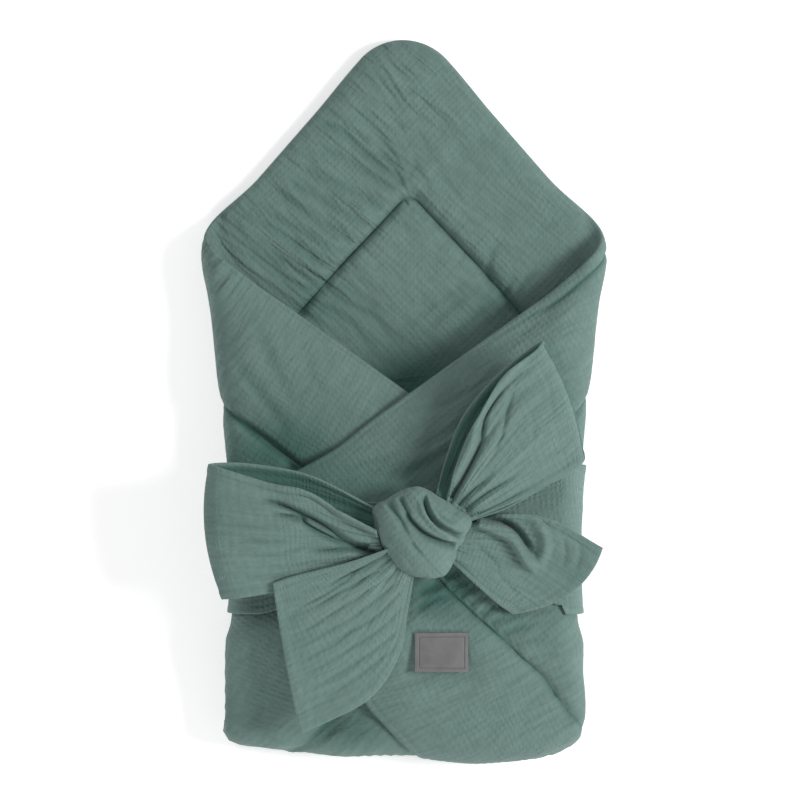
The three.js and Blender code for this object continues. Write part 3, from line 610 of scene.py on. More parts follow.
    @staticmethod
    def half_ellipse(
        distance: np.ndarray, across: np.ndarray, rise: np.ndarray
    ) -> tuple[np.ndarray, np.ndarray]:
        """Walks along a half ellipse, and straight on past its end.

        Args:
            distance: How far each point walks.
            across: How far the ellipse reaches out.
            rise: Half its height.

        Returns:
            How far out each point then is, and the angle turned.
        """
        length = math.pi * np.sqrt((across**2 + rise**2) / 2.0)
        turn = np.clip(distance / length, 0.0, 1.0) * math.pi
        out = np.where(distance >= length, length - distance, across * np.sin(turn))
        return out, turn

    def place(self, p: np.ndarray, q: np.ndarray) -> tuple[np.ndarray, np.ndarray, np.ndarray, np.ndarray]:
        """Folds points of the flat square.

        Args:
            p: First coordinates on the flat square; the hood is where both are large.
            q: Second coordinates.

        Returns:
            Places of the middle surface, their heights along the wrap before the end is turned under, how far
            the end is turned there, and which side each is on.
        """
        reach = self.half_side * math.sqrt(2.0) * self.bias[1]
        x = self.tip[0] + (p - q) / math.sqrt(2.0) * self.bias[0]
        y = self.tip[1] - reach + (p + q) / math.sqrt(2.0) * self.bias[1]
        z = np.zeros_like(x)
        side = np.zeros_like(x)
        for pick, sign in enumerate((-1.0, 1.0)):
            nx, ny = sign * math.cos(self.lean), -math.sin(self.lean)
            past = (x - sign * self.folds[pick]) * nx + (y - self.top_y) * ny
            turned = past > 0.0
            foot_y = y - past * ny
            rise = self.levels(sign * self.folds[pick] * np.ones_like(x), foot_y)[pick] / 2.0
            is_open = smooth(*self.pressed, foot_y)
            bulge = self.pressed_bulge + (self.bulges[pick] - self.pressed_bulge) * is_open
            out, turn = self.half_ellipse(np.maximum(past, 0.0), bulge, rise)
            x = np.where(turned, x + (out - past) * nx, x)
            y = np.where(turned, y + (out - past) * ny, y)
            z = np.where(turned, self.levels(x, y)[pick] * (1.0 - np.cos(turn)) / 2.0, z)
            side = np.where(turned, sign, side)
        x = x * self.width_share(y)
        swing = self.swing[0] * (1.0 - smooth(-340.0, -150.0, y))
        swing = swing - self.swing[1] * (1.0 - smooth(-600.0, -340.0, y))
        x = x + swing * (1.0 - np.minimum(np.abs(x) / self.half_width, 1.0) ** 2) ** 2
        along = y
        line = self.end_line(x)
        under = y < line
        radius = z - self.axis
        out, turn = self.half_ellipse(np.maximum(line - y, 0.0), 0.8 * radius + 1.0, radius)
        y = np.where(under, line - out, y)
        z = np.where(under, self.axis + radius * np.cos(turn), z)
        end_turn = np.where(under, turn, 0.0)
        return np.stack([x, y, z + self.back_height(x, y)], axis=-1), along, end_turn, side

    def normal(self, p: np.ndarray, q: np.ndarray, step: float = 0.5) -> np.ndarray:
        """Works out which way the folded square faces.

        Args:
            p: First coordinates on the flat square.
            q: Second coordinates.
            step: How far apart the places are that are compared.

        Returns:
            Normals that point to the baby's side of the cloth.
        """
        along_p = self.place(p + step, q)[0] - self.place(p - step, q)[0]
        along_q = self.place(p, q + step)[0] - self.place(p, q - step)[0]
        return unit(np.cross(along_p, along_q))


@dataclass(frozen=True)
class Wiring:
    """The nodes and links of one finish, with the few ways in which the finishes join them."""

    nodes: bpy.types.Nodes
    links: bpy.types.NodeLinks

    FIRST_COLOUR = 6  # a Mix node's colour sockets, by number
    SECOND_COLOUR = 7
    MIXED_COLOUR = 2

    @classmethod
    def of(cls, material: bpy.types.Material) -> "Wiring":
        """Returns the wiring of a new material."""
        material.use_nodes = True
        return cls(material.node_tree.nodes, material.node_tree.links)

    def feed(self, node: bpy.types.Node, inputs: dict[str | int, Any]) -> None:
        """Feeds some inputs of a node.

        Args:
            node: The node.
            inputs: For each input's name or number, the socket that feeds it or the value that it holds.
        """
        for name, value in inputs.items():
            if isinstance(value, bpy.types.NodeSocket):
                self.links.new(value, node.inputs[name])
            else:
                node.inputs[name].default_value = value

    def add(self, kind: str, inputs: dict[str | int, Any], **settings: Any) -> bpy.types.Node:
        """Adds a node.

        Args:
            kind: The node's type.
            inputs: What feeds its inputs.
            **settings: Its other settings.

        Returns:
            The node.
        """
        node = self.nodes.new(kind)
        for name, value in settings.items():
            setattr(node, name, value)
        self.feed(node, inputs)
        return node

    def product(self, first: bpy.types.NodeSocket, second: bpy.types.NodeSocket) -> bpy.types.NodeSocket:
        """Returns the product of two values."""
        return self.add("ShaderNodeMath", {0: first, 1: second}, operation="MULTIPLY").outputs["Value"]

    def between(
        self, value: bpy.types.NodeSocket, taken: tuple[float, float], given: tuple[float, float]
    ) -> bpy.types.NodeSocket:
        """Maps a value from one range to another.

        Args:
            value: The value.
            taken: The range it has.
            given: The range it gets.

        Returns:
            The result's socket.
        """
        ends = {"From Min": taken[0], "From Max": taken[1], "To Min": given[0], "To Max": given[1]}
        return self.add("ShaderNodeMapRange", {"Value": value, **ends}).outputs["Result"]

    def shaded(self, colour: tuple[float, float, float], share: bpy.types.NodeSocket) -> bpy.types.NodeSocket:
        """Returns a colour made darker or paler by a share."""
        form = {0: colour, "Scale": share}
        return self.add("ShaderNodeVectorMath", form, operation="SCALE").outputs["Vector"]

    def drawn_noise(
        self, places: bpy.types.NodeSocket, lengths: tuple[float, float], detail: float, bend: float
    ) -> bpy.types.NodeSocket:
        """Adds noise that is drawn out along the cloth.

        Args:
            places: Places on the flat cloth.
            lengths: Size of a swell each way, in millimetres.
            detail: How many finer swells it has on it.
            bend: How far it is distorted.

        Returns:
            The height's socket.
        """
        scale = (1.0 / (lengths[0] * MM), 1.0 / (lengths[1] * MM), 1.0)
        drawn = self.add("ShaderNodeMapping", {"Vector": places, "Scale": scale}).outputs["Vector"]
        form = {"Vector": drawn, "Scale": 1.0, "Detail": detail, "Distortion": bend}
        return self.add("ShaderNodeTexNoise", form).outputs["Fac"]

    def bump(
        self,
        height: bpy.types.NodeSocket,
        relief: float,
        strength: float = 1.0,
        under: bpy.types.NodeSocket | None = None,
    ) -> bpy.types.NodeSocket:
        """Raises the surface.

        Args:
            height: The height, from 0 to 1.
            relief: What a height of 1 is, in millimetres.
            strength: How much of it shows.
            under: The normal of another bump that it lies on.

        Returns:
            The normal's socket.
        """
        form = {"Height": height, "Distance": relief * MM, "Strength": strength}
        if under is not None:
            form["Normal"] = under
        return self.add("ShaderNodeBump", form).outputs["Normal"]


@dataclass(frozen=True)
class GauzeFinish:
    """Crinkled double gauze: soft ridges along the cloth, fine ones across it, a weave, uneven dye and
    painted shade.
    """

    name: str
    colour: tuple[float, float, float]
    ridge: float = 5.0  # width of the long crinkles
    ridge_length: float = 22.0
    cross: float = 4.0  # width of the short ones across them
    cross_length: float = 11.0
    across: float = 0.35  # the short ones' share of the height
    relief: float = 1.3  # their height
    thread: float = 0.9  # of the weave
    thread_relief: float = 0.12
    cell: float = 5.6  # side of the squares in which the two layers of gauze are held together
    cell_relief: float = 0.34
    pucker: float = 8.5  # width of a pucker
    pucker_length: float = 90.0
    pucker_relief: float = 6.5
    slant: float = 0.165  # how far the puckers turn from the cloth's grain, in radians
    painted_trough_shade: float = 0.11  # painted shade: how much darker the troughs of the crinkles are painted
    dye_patch: float = 60.0
    dye: float = 0.04  # how much darker or paler the patches of the dye are
    painted_shade_colour: tuple[float, float, float, float] = (0.044, 0.116, 0.095, 1.0)  # painted shade: the colour painted on the cloth where it lies in a fold

    def material(self) -> bpy.types.Material:
        """Makes the material.

        Returns:
            The node material.
        """
        made = bpy.data.materials.new(self.name)
        wiring = Wiring.of(made)
        places = wiring.add("ShaderNodeUVMap", {}, uv_map="cloth").outputs["UV"]
        long = wiring.drawn_noise(places, (self.ridge, self.ridge_length), 2.5, 0.5)
        short = wiring.drawn_noise(places, (self.cross_length, self.cross), 2.0, 0.4)
        patches = wiring.drawn_noise(places, (self.dye_patch, self.dye_patch), 2.0, 0.2)
        mixed = {"Factor": self.across, "A": long, "B": short}
        crinkles = wiring.add("ShaderNodeMix", mixed, data_type="FLOAT").outputs["Result"]
        weave = wiring.bump(self._squares(wiring, places, self.thread, 0.6), self.thread_relief, 0.35)
        cells = wiring.product(self._squares(wiring, places, self.cell, 6.0), patches)
        squares = wiring.bump(cells, 2.0 * self.cell_relief, under=weave)
        puckers = wiring.bump(self._puckers(wiring, places), self.pucker_relief, under=squares)
        surface = {
            "Roughness": 0.92,
            "Specular IOR Level": 0.22,
            "Sheen Weight": 0.12,
            "Sheen Roughness": 0.5,
            "Base Color": self._dye_and_painted_shade(wiring, crinkles, patches),
            "Normal": wiring.bump(crinkles, self.relief, under=puckers),
        }
        wiring.feed(wiring.nodes["Principled BSDF"], surface)
        return made

    def _dye_and_painted_shade(
        self, wiring: Wiring, crinkles: bpy.types.NodeSocket, patches: bpy.types.NodeSocket
    ) -> bpy.types.NodeSocket:
        """Colours the cloth with its dye, and with painted shade in the crinkles' troughs and where it lies
        in a fold.

        Args:
            wiring: The material's wiring.
            crinkles: Height of the crinkles.
            patches: Noise that the dye follows.

        Returns:
            The colour's socket.
        """
        # painted shade and light: the crinkles' troughs are painted darker and their ridges a little paler
        trough_shade = wiring.between(crinkles, (0.36, 0.64), (1.0 - self.painted_trough_shade, 1.0 + self.painted_trough_shade * 0.5))
        dye = wiring.between(patches, (0.3, 0.7), (1.0 - self.dye, 1.0 + self.dye))
        # painted shade: the attribute mixes the colour towards the painted shade colour in folds and seams
        colours = {
            "Factor": wiring.add("ShaderNodeAttribute", {}, attribute_name="painted_shade").outputs["Fac"],
            Wiring.FIRST_COLOUR: wiring.shaded(self.colour, wiring.product(trough_shade, dye)),
            Wiring.SECOND_COLOUR: self.painted_shade_colour,
        }
        return wiring.add("ShaderNodeMix", colours, data_type="RGBA").outputs[Wiring.MIXED_COLOUR]

    def _puckers(self, wiring: Wiring, places: bpy.types.NodeSocket) -> bpy.types.NodeSocket:
        """Adds long puckers where the piece's attribute asks for them.

        Args:
            wiring: The material's wiring.
            places: Places on the flat cloth.

        Returns:
            The height's socket.
        """
        turn = {"Vector": places, "Rotation": (0.0, 0.0, -self.slant)}
        turned = wiring.add("ShaderNodeMapping", turn).outputs["Vector"]
        noise = wiring.drawn_noise(turned, (self.pucker, self.pucker_length), 1.5, 0.3)
        share = wiring.add("ShaderNodeAttribute", {}, attribute_name="pucker").outputs["Fac"]
        return wiring.product(noise, share)

    @staticmethod
    def _squares(
        wiring: Wiring, places: bpy.types.NodeSocket, pitch: float, bend: float
    ) -> bpy.types.NodeSocket:
        """Adds a pattern of square bumps.

        Args:
            wiring: The material's wiring.
            places: Places on the flat cloth.
            pitch: Side of a square, in millimetres.
            bend: How far the squares are distorted.

        Returns:
            The height's socket.
        """
        rate = 0.314 / (pitch * MM)
        form = {"Vector": places, "Scale": rate, "Distortion": bend, "Detail": 1.0, "Detail Scale": 0.5}
        waves = [
            wiring.add("ShaderNodeTexWave", form, wave_type="BANDS", bands_direction=axis) for axis in "XY"
        ]
        return wiring.product(waves[0].outputs["Fac"], waves[1].outputs["Fac"])


@dataclass(frozen=True)
class LabelFinish:
    """Soft grey leather-like label stock with a fine grain and faint clouds."""

    name: str = "label_stock"
    colour: tuple[float, float, float] = (0.150, 0.150, 0.150)
    grain: float = 0.9
    cloud: float = 14.0

    def material(self) -> bpy.types.Material:
        """Makes the material.

        Returns:
            The node material.
        """
        made = bpy.data.materials.new(self.name)
        wiring = Wiring.of(made)
        places = wiring.add("ShaderNodeTexCoord", {}).outputs["Object"]
        fine = {"Vector": places, "Scale": 1.0 / (self.grain * MM), "Detail": 3.0}
        grain = wiring.add("ShaderNodeTexNoise", fine).outputs["Fac"]
        broad = {"Vector": places, "Scale": 1.0 / (self.cloud * MM)}
        clouds = wiring.add("ShaderNodeTexNoise", broad).outputs["Fac"]
        surface = {
            "Roughness": 0.62,
            "Specular IOR Level": 0.35,
            "Base Color": wiring.shaded(self.colour, wiring.between(clouds, (0.3, 0.7), (0.9, 1.1))),
            "Normal": wiring.bump(grain, 0.1, 0.4),
        }
        wiring.feed(wiring.nodes["Principled BSDF"], surface)
        return made


QUILT_CLOTH = GauzeFinish("quilt_gauze", (0.135, 0.212, 0.191))
SASH_CLOTH = GauzeFinish("sash_gauze", (0.142, 0.222, 0.200), ridge=4.0, cross=3.4, across=0.45)
LABEL_STOCK = LabelFinish()


@dataclass
class Quilt:
    """The padded square: two gauze faces over wadding, sewn together along an inner square, and folded."""

    folds: FoldMap = field(default_factory=FoldMap)
    hood_half: float = 12.0  # half the thickness in the hood
    flap_half: float = 6.2  # in the flaps
    end_half: float = 4.4  # in the turned-under end
    turn_half: float = 3.2  # where it turns
    seam_half: float = 1.2  # and along the sewn square
    edge_round: float = 24.0  # how far the round of the edge reaches in
    seam_round: float = 22.0  # how far the draw of the sewn square reaches
    panel_share: float = 0.82  # thickness inside the sewn square, as a share of that outside it
    edge_seam: float = 4.8  # the closing seam lies this far inside the edge, on the outer face
    hood_seam_shift: float = 9.0  # how far the sewn square's right side lies outside its place, in the hood
    # p along the sewn square's lower side, and how far its q is shifted there
    tongue_seam: tuple[tuple[float, float], ...] = (
        (-150, 0), (0, 48), (38, 42), (78, 33), (110, 20), (136, 11), (159, 5), (175, 0), (224, -7), (260, 0),
    )
    tongue_edge_shift: float = 25.0  # how far the right flap's lower edge lies inside its place
    right_edge_shift: float = 10.0  # how far the right flap's upper edge lies inside its place
    left_edge_shift: float = 5.0  # the same for the left flap
    fillet: float = 0.45  # how strongly each round softens the hollow where the sides turn up
    flap_puff: float = 4.5  # how much plumper the flaps' borders are on the outside
    panel_puff: float = 1.5
    groove: float = 2.6  # how far the sewn square is drawn in
    band_pinch: float = 2.5  # how far the tied sash presses into it
    band_y: float = -139.4  # the middle of where it does
    corner_seam: float = 8.0  # how much further inside it lies at the hood's right corner
    corner_fill: float = 3.4  # how much plumper the lower right corner is
    end_fill: float = 4.0  # the same for the left of the bottom end
    left_border: float = 5.0  # how much plumper the left flap's border is than the right one's
    left_panel: float = 4.0  # how much flatter its panel is
    over_band: float = 3.5  # how high the underside is where the sash goes under it
    broad: Crinkle = Crinkle(13.0, 85.0, 1.3)
    narrow: Crinkle = Crinkle(6.5, 48.0, 0.9)
    seam_puckers: Crinkle = Crinkle(10.0, 60.0, 3.0)
    lumps: float = 1.4  # height of the filling's lumps
    lump_size: float = 95.0
    calm_puckers: float = 0.12
    label: tuple[float, float] = (37.1, -250.8)  # the middle of the label
    hollow: tuple[float, float, float, float] = (6.0, 22.0, 62.0, 40.0)  # the pocket's mouth and its reach
    hollow_depth: float = 11.0  # how far the back is pressed down there
    # painted shade on the baby's side of the cloth, at places where little light comes
    inner_shade_spots: tuple[PaintedShadeSpot, ...] = (
        PaintedShadeSpot(16.0, 6.0, 78.0, 50.0, 0.88),
        PaintedShadeSpot(97.0, 96.0, 34.0, 26.0, 0.3),
        PaintedShadeSpot(-98.0, 92.0, 30.0, 24.0, 0.4),
    )
    # painted shade on the outer side of the cloth, at places in its folds where little light comes
    outer_shade_spots: tuple[PaintedShadeSpot, ...] = (
        PaintedShadeSpot(-112.0, -50.0, 46.0, 30.0, 0.8),
        PaintedShadeSpot(-155.0, -66.0, 34.0, 34.0, 0.45),
        PaintedShadeSpot(18.0, -76.0, 42.0, 24.0, 0.25),
        PaintedShadeSpot(-56.0, -84.0, 56.0, 16.0, 0.45),
        PaintedShadeSpot(34.0, -190.0, 34.0, 24.0, 0.8),
        PaintedShadeSpot(104.0, -226.0, 50.0, 16.0, 0.3),
        PaintedShadeSpot(-56.0, -331.0, 34.0, 20.0, 0.5),
    )

    def lines(self) -> np.ndarray:
        """Returns the grid's lines, close together at the edge and on both sides of the sewn square."""
        return np.concatenate([-self.half_lines(6.0, 7.4)[:-1], self.half_lines(2.7, 3.5)[::-1]])

    def half_lines(self, border_pitch: float, panel_pitch: float) -> np.ndarray:
        """Places half of the grid's lines, from the edge to the middle.

        Args:
            border_pitch: Distance between them in the border.
            panel_pitch: The same inside the sewn square.

        Returns:
            Their coordinates on the flat square.
        """
        edge = [0, 0.6, 1.4, 2.4, 3.4, 4.2, 4.8, 5.4, 6.4, 8.4, 11.4, 12.8, 14.2, 18.4]
        seam = self.folds.half_side - self.folds.half_seam
        border = np.arange(24.4, seam - 10.0 - border_pitch / 2.0, border_pitch)
        beside = np.array([10.0, 7.6, 5.6, 4.0, 2.8, 1.8, 0.9])
        count = int((self.folds.half_seam - 12.5) / panel_pitch) + 1
        panel = np.linspace(seam + 12.5, self.folds.half_side, count)
        away = np.concatenate([edge, border, seam - beside, [seam], seam + beside[::-1], panel])
        return self.folds.half_side - away

    def half_thickness(
        self, p: np.ndarray, q: np.ndarray, along: np.ndarray, end_turn: np.ndarray, side: np.ndarray
    ) -> np.ndarray:
        """Works out the filling: round at the edge and drawn in at the sewn square.

        Args:
            p: First coordinates on the flat square.
            q: Second coordinates.
            along: Each point's height along the wrap.
            end_turn: How far the end is turned under there.
            side: Which side each point is on.

        Returns:
            Half the thickness at each point.
        """
        ring = np.maximum(np.abs(p), np.abs(q))
        from_edge = np.clip((self.folds.half_side - ring) / self.edge_round, 0.0, 1.0)
        from_seam = np.clip(np.abs(ring - self.folds.half_seam) / self.seam_round, 0.0, 1.0)
        edge = np.sqrt(1.0 - (1.0 - from_edge) ** 2)
        seam = np.sqrt(1.0 - (1.0 - from_seam) ** 2)
        hood = np.where(side == Side.BACK.value, smooth(-60.0, 120.0, along), 0.0)
        full = self.flap_half + (self.hood_half - self.flap_half) * hood
        full = full - (self.flap_half - self.end_half) * (1.0 - smooth(-330.0, -200.0, along))
        full = full - (self.end_half - self.turn_half) * np.sin(end_turn)
        share = np.where(ring > self.folds.half_seam, 1.0, self.panel_share)
        return edge * (self.seam_half + (full * share - self.seam_half) * seam)

    def warp(self, p: np.ndarray, q: np.ndarray) -> tuple[np.ndarray, np.ndarray]:
        """Moves the grid so that the sewn square and the edges lie where they are seen.

        Args:
            p: First coordinates on the flat square.
            q: Second coordinates.

        Returns:
            The points' places on the cloth.
        """
        near_p = np.exp(-(((p - self.folds.half_seam) / 55.0) ** 2)) * smooth(-140.0, 40.0, q)
        places, shifts = zip(*self.tongue_seam)
        shift_q = np.interp(p, places, shifts)
        near_q = np.exp(-(((q + self.folds.half_seam) / 60.0) ** 2))
        near_edge = np.exp(-(((q + self.folds.half_side) / 75.0) ** 2))
        edge_q = self.tongue_edge_shift * smooth(-40.0, 80.0, p) * (1.0 - smooth(300.0, 380.0, p))
        upper_right = np.exp(-(((p - self.folds.half_side) / 70.0) ** 2))
        upper_right = upper_right * smooth(75.0, -20.0, q) * smooth(-350.0, -260.0, q)
        upper_left = np.exp(-(((q - self.folds.half_side) / 70.0) ** 2))
        upper_left = upper_left * smooth(75.0, -20.0, p) * smooth(-300.0, -200.0, p)
        moved_p = p + self.hood_seam_shift * near_p - self.right_edge_shift * upper_right
        return moved_p, q + shift_q * near_q + edge_q * near_edge - self.left_edge_shift * upper_left

    def relief(
        self,
        p: np.ndarray,
        q: np.ndarray,
        side: np.ndarray,
        along: np.ndarray,
        end_turn: np.ndarray,
        face: int,
    ) -> np.ndarray:
        """Crinkles of the gauze and puckers of the filling.

        Args:
            p: First coordinates on the flat square.
            q: Second coordinates; the gauze's ridges run this way.
            side: Which side each point is on.
            along: Its height along the wrap.
            end_turn: How far the end is turned under there.
            face: 1 for the baby's side of the cloth, -1 for the outer one.

        Returns:
            How far each point stands out.
        """
        noise = SmoothNoise(11 + face)
        fine = SmoothNoise(23 + face)
        ring = np.maximum(np.abs(p), np.abs(q))
        from_seam = np.abs(ring - self.folds.half_seam)
        from_edge = self.folds.half_side - ring
        calm = smooth(0.0, 14.0, from_edge) * smooth(0.0, 3.0, from_seam)
        in_hood = np.where(side == Side.BACK.value, 1.0, 0.0) * smooth(-40.0, 60.0, along)
        left_band = in_hood * smooth(-20.0, 20.0, q - self.folds.half_seam)
        slant = p + 0.167 * q * in_hood
        crinkles = self.broad.on(noise, slant, q) + self.narrow.on(fine, slant, q)
        right_band = in_hood * smooth(-20.0, 20.0, p - self.folds.half_seam) * (1.0 - left_band)
        strength = 0.8 + 0.5 * in_hood + 0.7 * left_band - 0.8 * right_band
        strength = strength * (1.0 - 0.85 * smooth(0.0, 1.0, end_turn))
        height = calm * strength * crinkles
        is_p_side = np.abs(p) > np.abs(q)
        beside = np.where(is_p_side, q, p)
        height = height + calm * np.exp(-from_seam / 26.0) * self.seam_puckers.on(fine, beside, from_seam)
        return height + calm * self.lumps * noise.at(p / self.lump_size + 9.0, q / self.lump_size)

    def edge_seam_at(self, bare: np.ndarray, from_edge: np.ndarray) -> tuple[np.ndarray, np.ndarray]:
        """Finds the closing seam beside the edge of the outer face.

        Args:
            bare: The face's points before its relief.
            from_edge: How far inside the flat square's edge they are.

        Returns:
            How much each point is at the hood's right corner, and how far it is from the seam.
        """
        corner = smooth(95.0, 165.0, bare[..., 0]) * smooth(40.0, 90.0, bare[..., 1])
        return corner, from_edge - self.edge_seam - self.corner_seam * corner

    def hand_placed(self, bare: np.ndarray, p: np.ndarray, q: np.ndarray, face: int) -> np.ndarray:
        """The plumpness of the flaps, the seam along their edges and the hollow above where they cross.

        Args:
            bare: The face's points before its relief.
            p: First coordinates on the flat square.
            q: Second coordinates.
            face: 1 for the baby's side of the cloth, -1 for the outer one.

        Returns:
            How far each point stands out.
        """
        x, y, z = bare[..., 0], bare[..., 1], bare[..., 2]
        ring = np.maximum(np.abs(p), np.abs(q))
        from_seam = np.abs(ring - self.folds.half_seam)
        on_flap = smooth(24.0, 34.0, z)
        shows = on_flap if face < 0 else 1.0 - on_flap
        inside = 1.0 - smooth(150.0, 184.0, np.abs(x))
        drawn_in = self.groove * (0.3 + 0.7 * inside) * np.exp(-((from_seam / 5.0) ** 2))
        groove = (1.0 - 2.0 * shows) * drawn_in
        if face > 0:
            off_x = (x - self.hollow[0]) / self.hollow[2]
            off_y = (y - self.hollow[1]) / self.hollow[3]
            hollow = self.hollow_depth * np.exp(-(off_x**2 + off_y**2))
            return groove - hollow * smooth(40.0, 34.0, z)
        from_edge = self.folds.half_side - ring
        corner, off_seam = self.edge_seam_at(bare, from_edge)
        height = -(0.8 + 2.2 * corner) * np.exp(-((off_seam / (1.3 + 0.8 * corner)) ** 2))
        off_band = np.abs(y - self.band_y)
        pinch = inside * self.band_pinch * (1.0 - smooth(66.0, 84.0, off_band))
        low_right = smooth(110.0, 170.0, x) * smooth(-268.0, -305.0, y) * smooth(-350.0, -322.0, y)
        end_left = smooth(-20.0, -70.0, x) * smooth(-318.0, -345.0, y)
        pinch = pinch - self.corner_fill * low_right - self.end_fill * end_left
        puff = smooth(0.0, 42.0, from_seam) * smooth(0.0, 46.0, from_edge) * inside
        is_left = smooth(-8.0, -50.0, self.folds.below_edge(x, y))
        border = self.flap_puff + self.left_border * is_left
        panel = self.panel_puff - self.left_panel * is_left
        puff = puff * smooth(60.0, 100.0, off_band)
        return height + groove - pinch + on_flap * puff * np.where(ring > self.folds.half_seam, border, panel)

    def beside_label(self, bare: np.ndarray, side: np.ndarray, face: int) -> np.ndarray:
        """Finds where the label isn't sewn on.

        Args:
            bare: The face's points before its relief.
            side: Which side each point is on.
            face: 1 for the baby's side of the cloth, -1 for the outer one.

        Returns:
            0 under the label and 1 away from it, for each point.
        """
        off_x = np.abs(bare[..., 0] - self.label[0]) - 28.0
        off_y = np.abs(bare[..., 1] - self.label[1]) - 22.0
        away = smooth(0.0, 16.0, np.maximum(off_x, off_y))
        return np.where((side == Side.RIGHT.value) & (face < 0), away, 1.0)

    def creases(self, points: np.ndarray, side: np.ndarray, along: np.ndarray, face: int) -> np.ndarray:
        """Adds the listed creases where the face shows.

        Args:
            points: The face's points.
            side: Which side each is on.
            along: Its height along the wrap.
            face: 1 for the baby's side of the cloth, -1 for the outer one.

        Returns:
            How far they lift each point.
        """
        lift = np.zeros(points.shape[:-1])
        if face > 0:
            shows = (side == Side.BACK.value) & (along > 0.0)
            lift += np.where(shows, crease_lift(points, HOOD_CREASES), 0.0)
        else:
            lift += np.where(side == Side.LEFT.value, crease_lift(points, LEFT_FLAP_CREASES), 0.0)
            lift += np.where(side == Side.RIGHT.value, crease_lift(points, RIGHT_FLAP_CREASES), 0.0)
        return lift

    def soften(self, points: np.ndarray, p: np.ndarray, q: np.ndarray, rounds: int = 70) -> np.ndarray:
        """Presses the filling into the hollow where the hood's corners turn up.

        Args:
            points: Points of the baby's side.
            p: First coordinates on the flat square.
            q: Second coordinates.
            rounds: How many times it is softened.

        Returns:
            The softened points.
        """
        from_edge = self.folds.half_side - np.maximum(np.abs(p), np.abs(q))
        at_corner = smooth(132.0, 158.0, np.abs(points[..., 0])) * smooth(40.0, 80.0, points[..., 1])
        weight = (self.fillet * at_corner * smooth(6.0, 22.0, from_edge))[..., None]
        for _ in range(rounds):
            around = sum(np.roll(points, step, axis) for axis in (0, 1) for step in (1, -1))
            points = points + weight * (around / 4.0 - points)
        return points

    def painted_shade_of(
        self, bare: np.ndarray, p: np.ndarray, q: np.ndarray, lift: np.ndarray, face: int
    ) -> np.ndarray:
        """The painted shade of the cloth: darker in creases, along the sewn square and the hood's corner
        seam, and at the spots.

        Args:
            bare: The face's points before its relief.
            p: First coordinates on the flat square.
            q: Second coordinates.
            lift: How far the listed creases lift the points.
            face: 1 for the baby's side of the cloth, -1 for the outer one.

        Returns:
            A share from 0 to 1 for each point.
        """
        ring = np.maximum(np.abs(p), np.abs(q))
        from_seam = np.abs(ring - self.folds.half_seam)
        z = bare[..., 2]
        crease_shade = np.clip(-lift * 0.11, 0.0, 0.3 if face > 0 else 0.4)
        # painted shade in the creases and along the sewn square
        painted_shade = crease_shade + 0.45 * np.exp(-((from_seam / 2.6) ** 2))
        if face > 0:
            return painted_shade + smooth(46.0, 38.0, z) * sum(spot.at(bare) for spot in self.inner_shade_spots)
        corner, off_seam = self.edge_seam_at(bare, self.folds.half_side - ring)
        painted_shade = painted_shade + corner * np.exp(-((off_seam / 1.5) ** 2))
        return painted_shade + smooth(34.0, 46.0, z) * sum(spot.at(bare) for spot in self.outer_shade_spots)

    def face(self, p: np.ndarray, q: np.ndarray, face: int) -> tuple[np.ndarray, np.ndarray]:
        """Folds one face of the quilt.

        Args:
            p: First coordinates of the grid on the flat square.
            q: Second coordinates.
            face: 1 for the baby's side of the cloth, -1 for the outer one.

        Returns:
            Its points, and how much painted shade each has.
        """
        flat = self.warp(*self.folds.rounded(p, q))
        middle, along, end_turn, side = self.folds.place(*flat)
        half = self.half_thickness(p, q, along, end_turn, side)
        outward = face * self.folds.normal(*flat)
        bare = middle + outward * half[..., None] + ORIGIN
        level = smooth(0.1, 0.7, np.abs(outward[..., 2]))
        lift = self.creases(bare, side, along, face)
        out = (0.25 + 0.75 * level) * self.relief(p, q, side, along, end_turn, face)
        out = out + self.hand_placed(bare, p, q, face) + lift
        points = bare + outward * (out * self.beside_label(bare, side, face))[..., None]
        if face > 0:
            points = self.soften(points, p, q)
        away = np.abs(points[..., 1] - ORIGIN[1] - BAND_MIDDLE) - BAND_WIDTH / 2.0
        floor = self.over_band * (1.0 - smooth(8.0, 22.0, away))
        points[..., 2] = floor + np.maximum(softplus(points[..., 2] - floor, 2.0) - 1.0, 0.0)
        return points, self.painted_shade_of(bare, p, q, lift, face)

    def mark_puckers(self, piece: bpy.types.Object) -> None:
        """Stores how strongly the cloth is puckered at each point, from 0 to 1, for the finish.

        Args:
            piece: The quilt's object.
        """
        places = np.zeros(len(piece.data.loops) * 2)
        piece.data.uv_layers["cloth"].data.foreach_get("uv", places)
        places = places.reshape(-1, 2) / MM
        at_point = np.zeros((len(piece.data.vertices), 2))
        at_point[Shell.corners(piece.data)] = places
        p, q = at_point[:, 0], at_point[:, 1]
        left_band = smooth(-20.0, 10.0, q - self.folds.half_seam) * smooth(-60.0, 40.0, p)
        ring = np.maximum(np.abs(p), np.abs(q))
        near_seam = np.exp(-((np.abs(ring - self.folds.half_seam) / 30.0) ** 2))
        strength = np.clip(self.calm_puckers + 0.7 * left_band + 0.3 * near_seam, 0.0, 1.0)
        layer = piece.data.attributes.new("pucker", "FLOAT", "POINT")
        layer.data.foreach_set("value", strength.astype(np.float32))

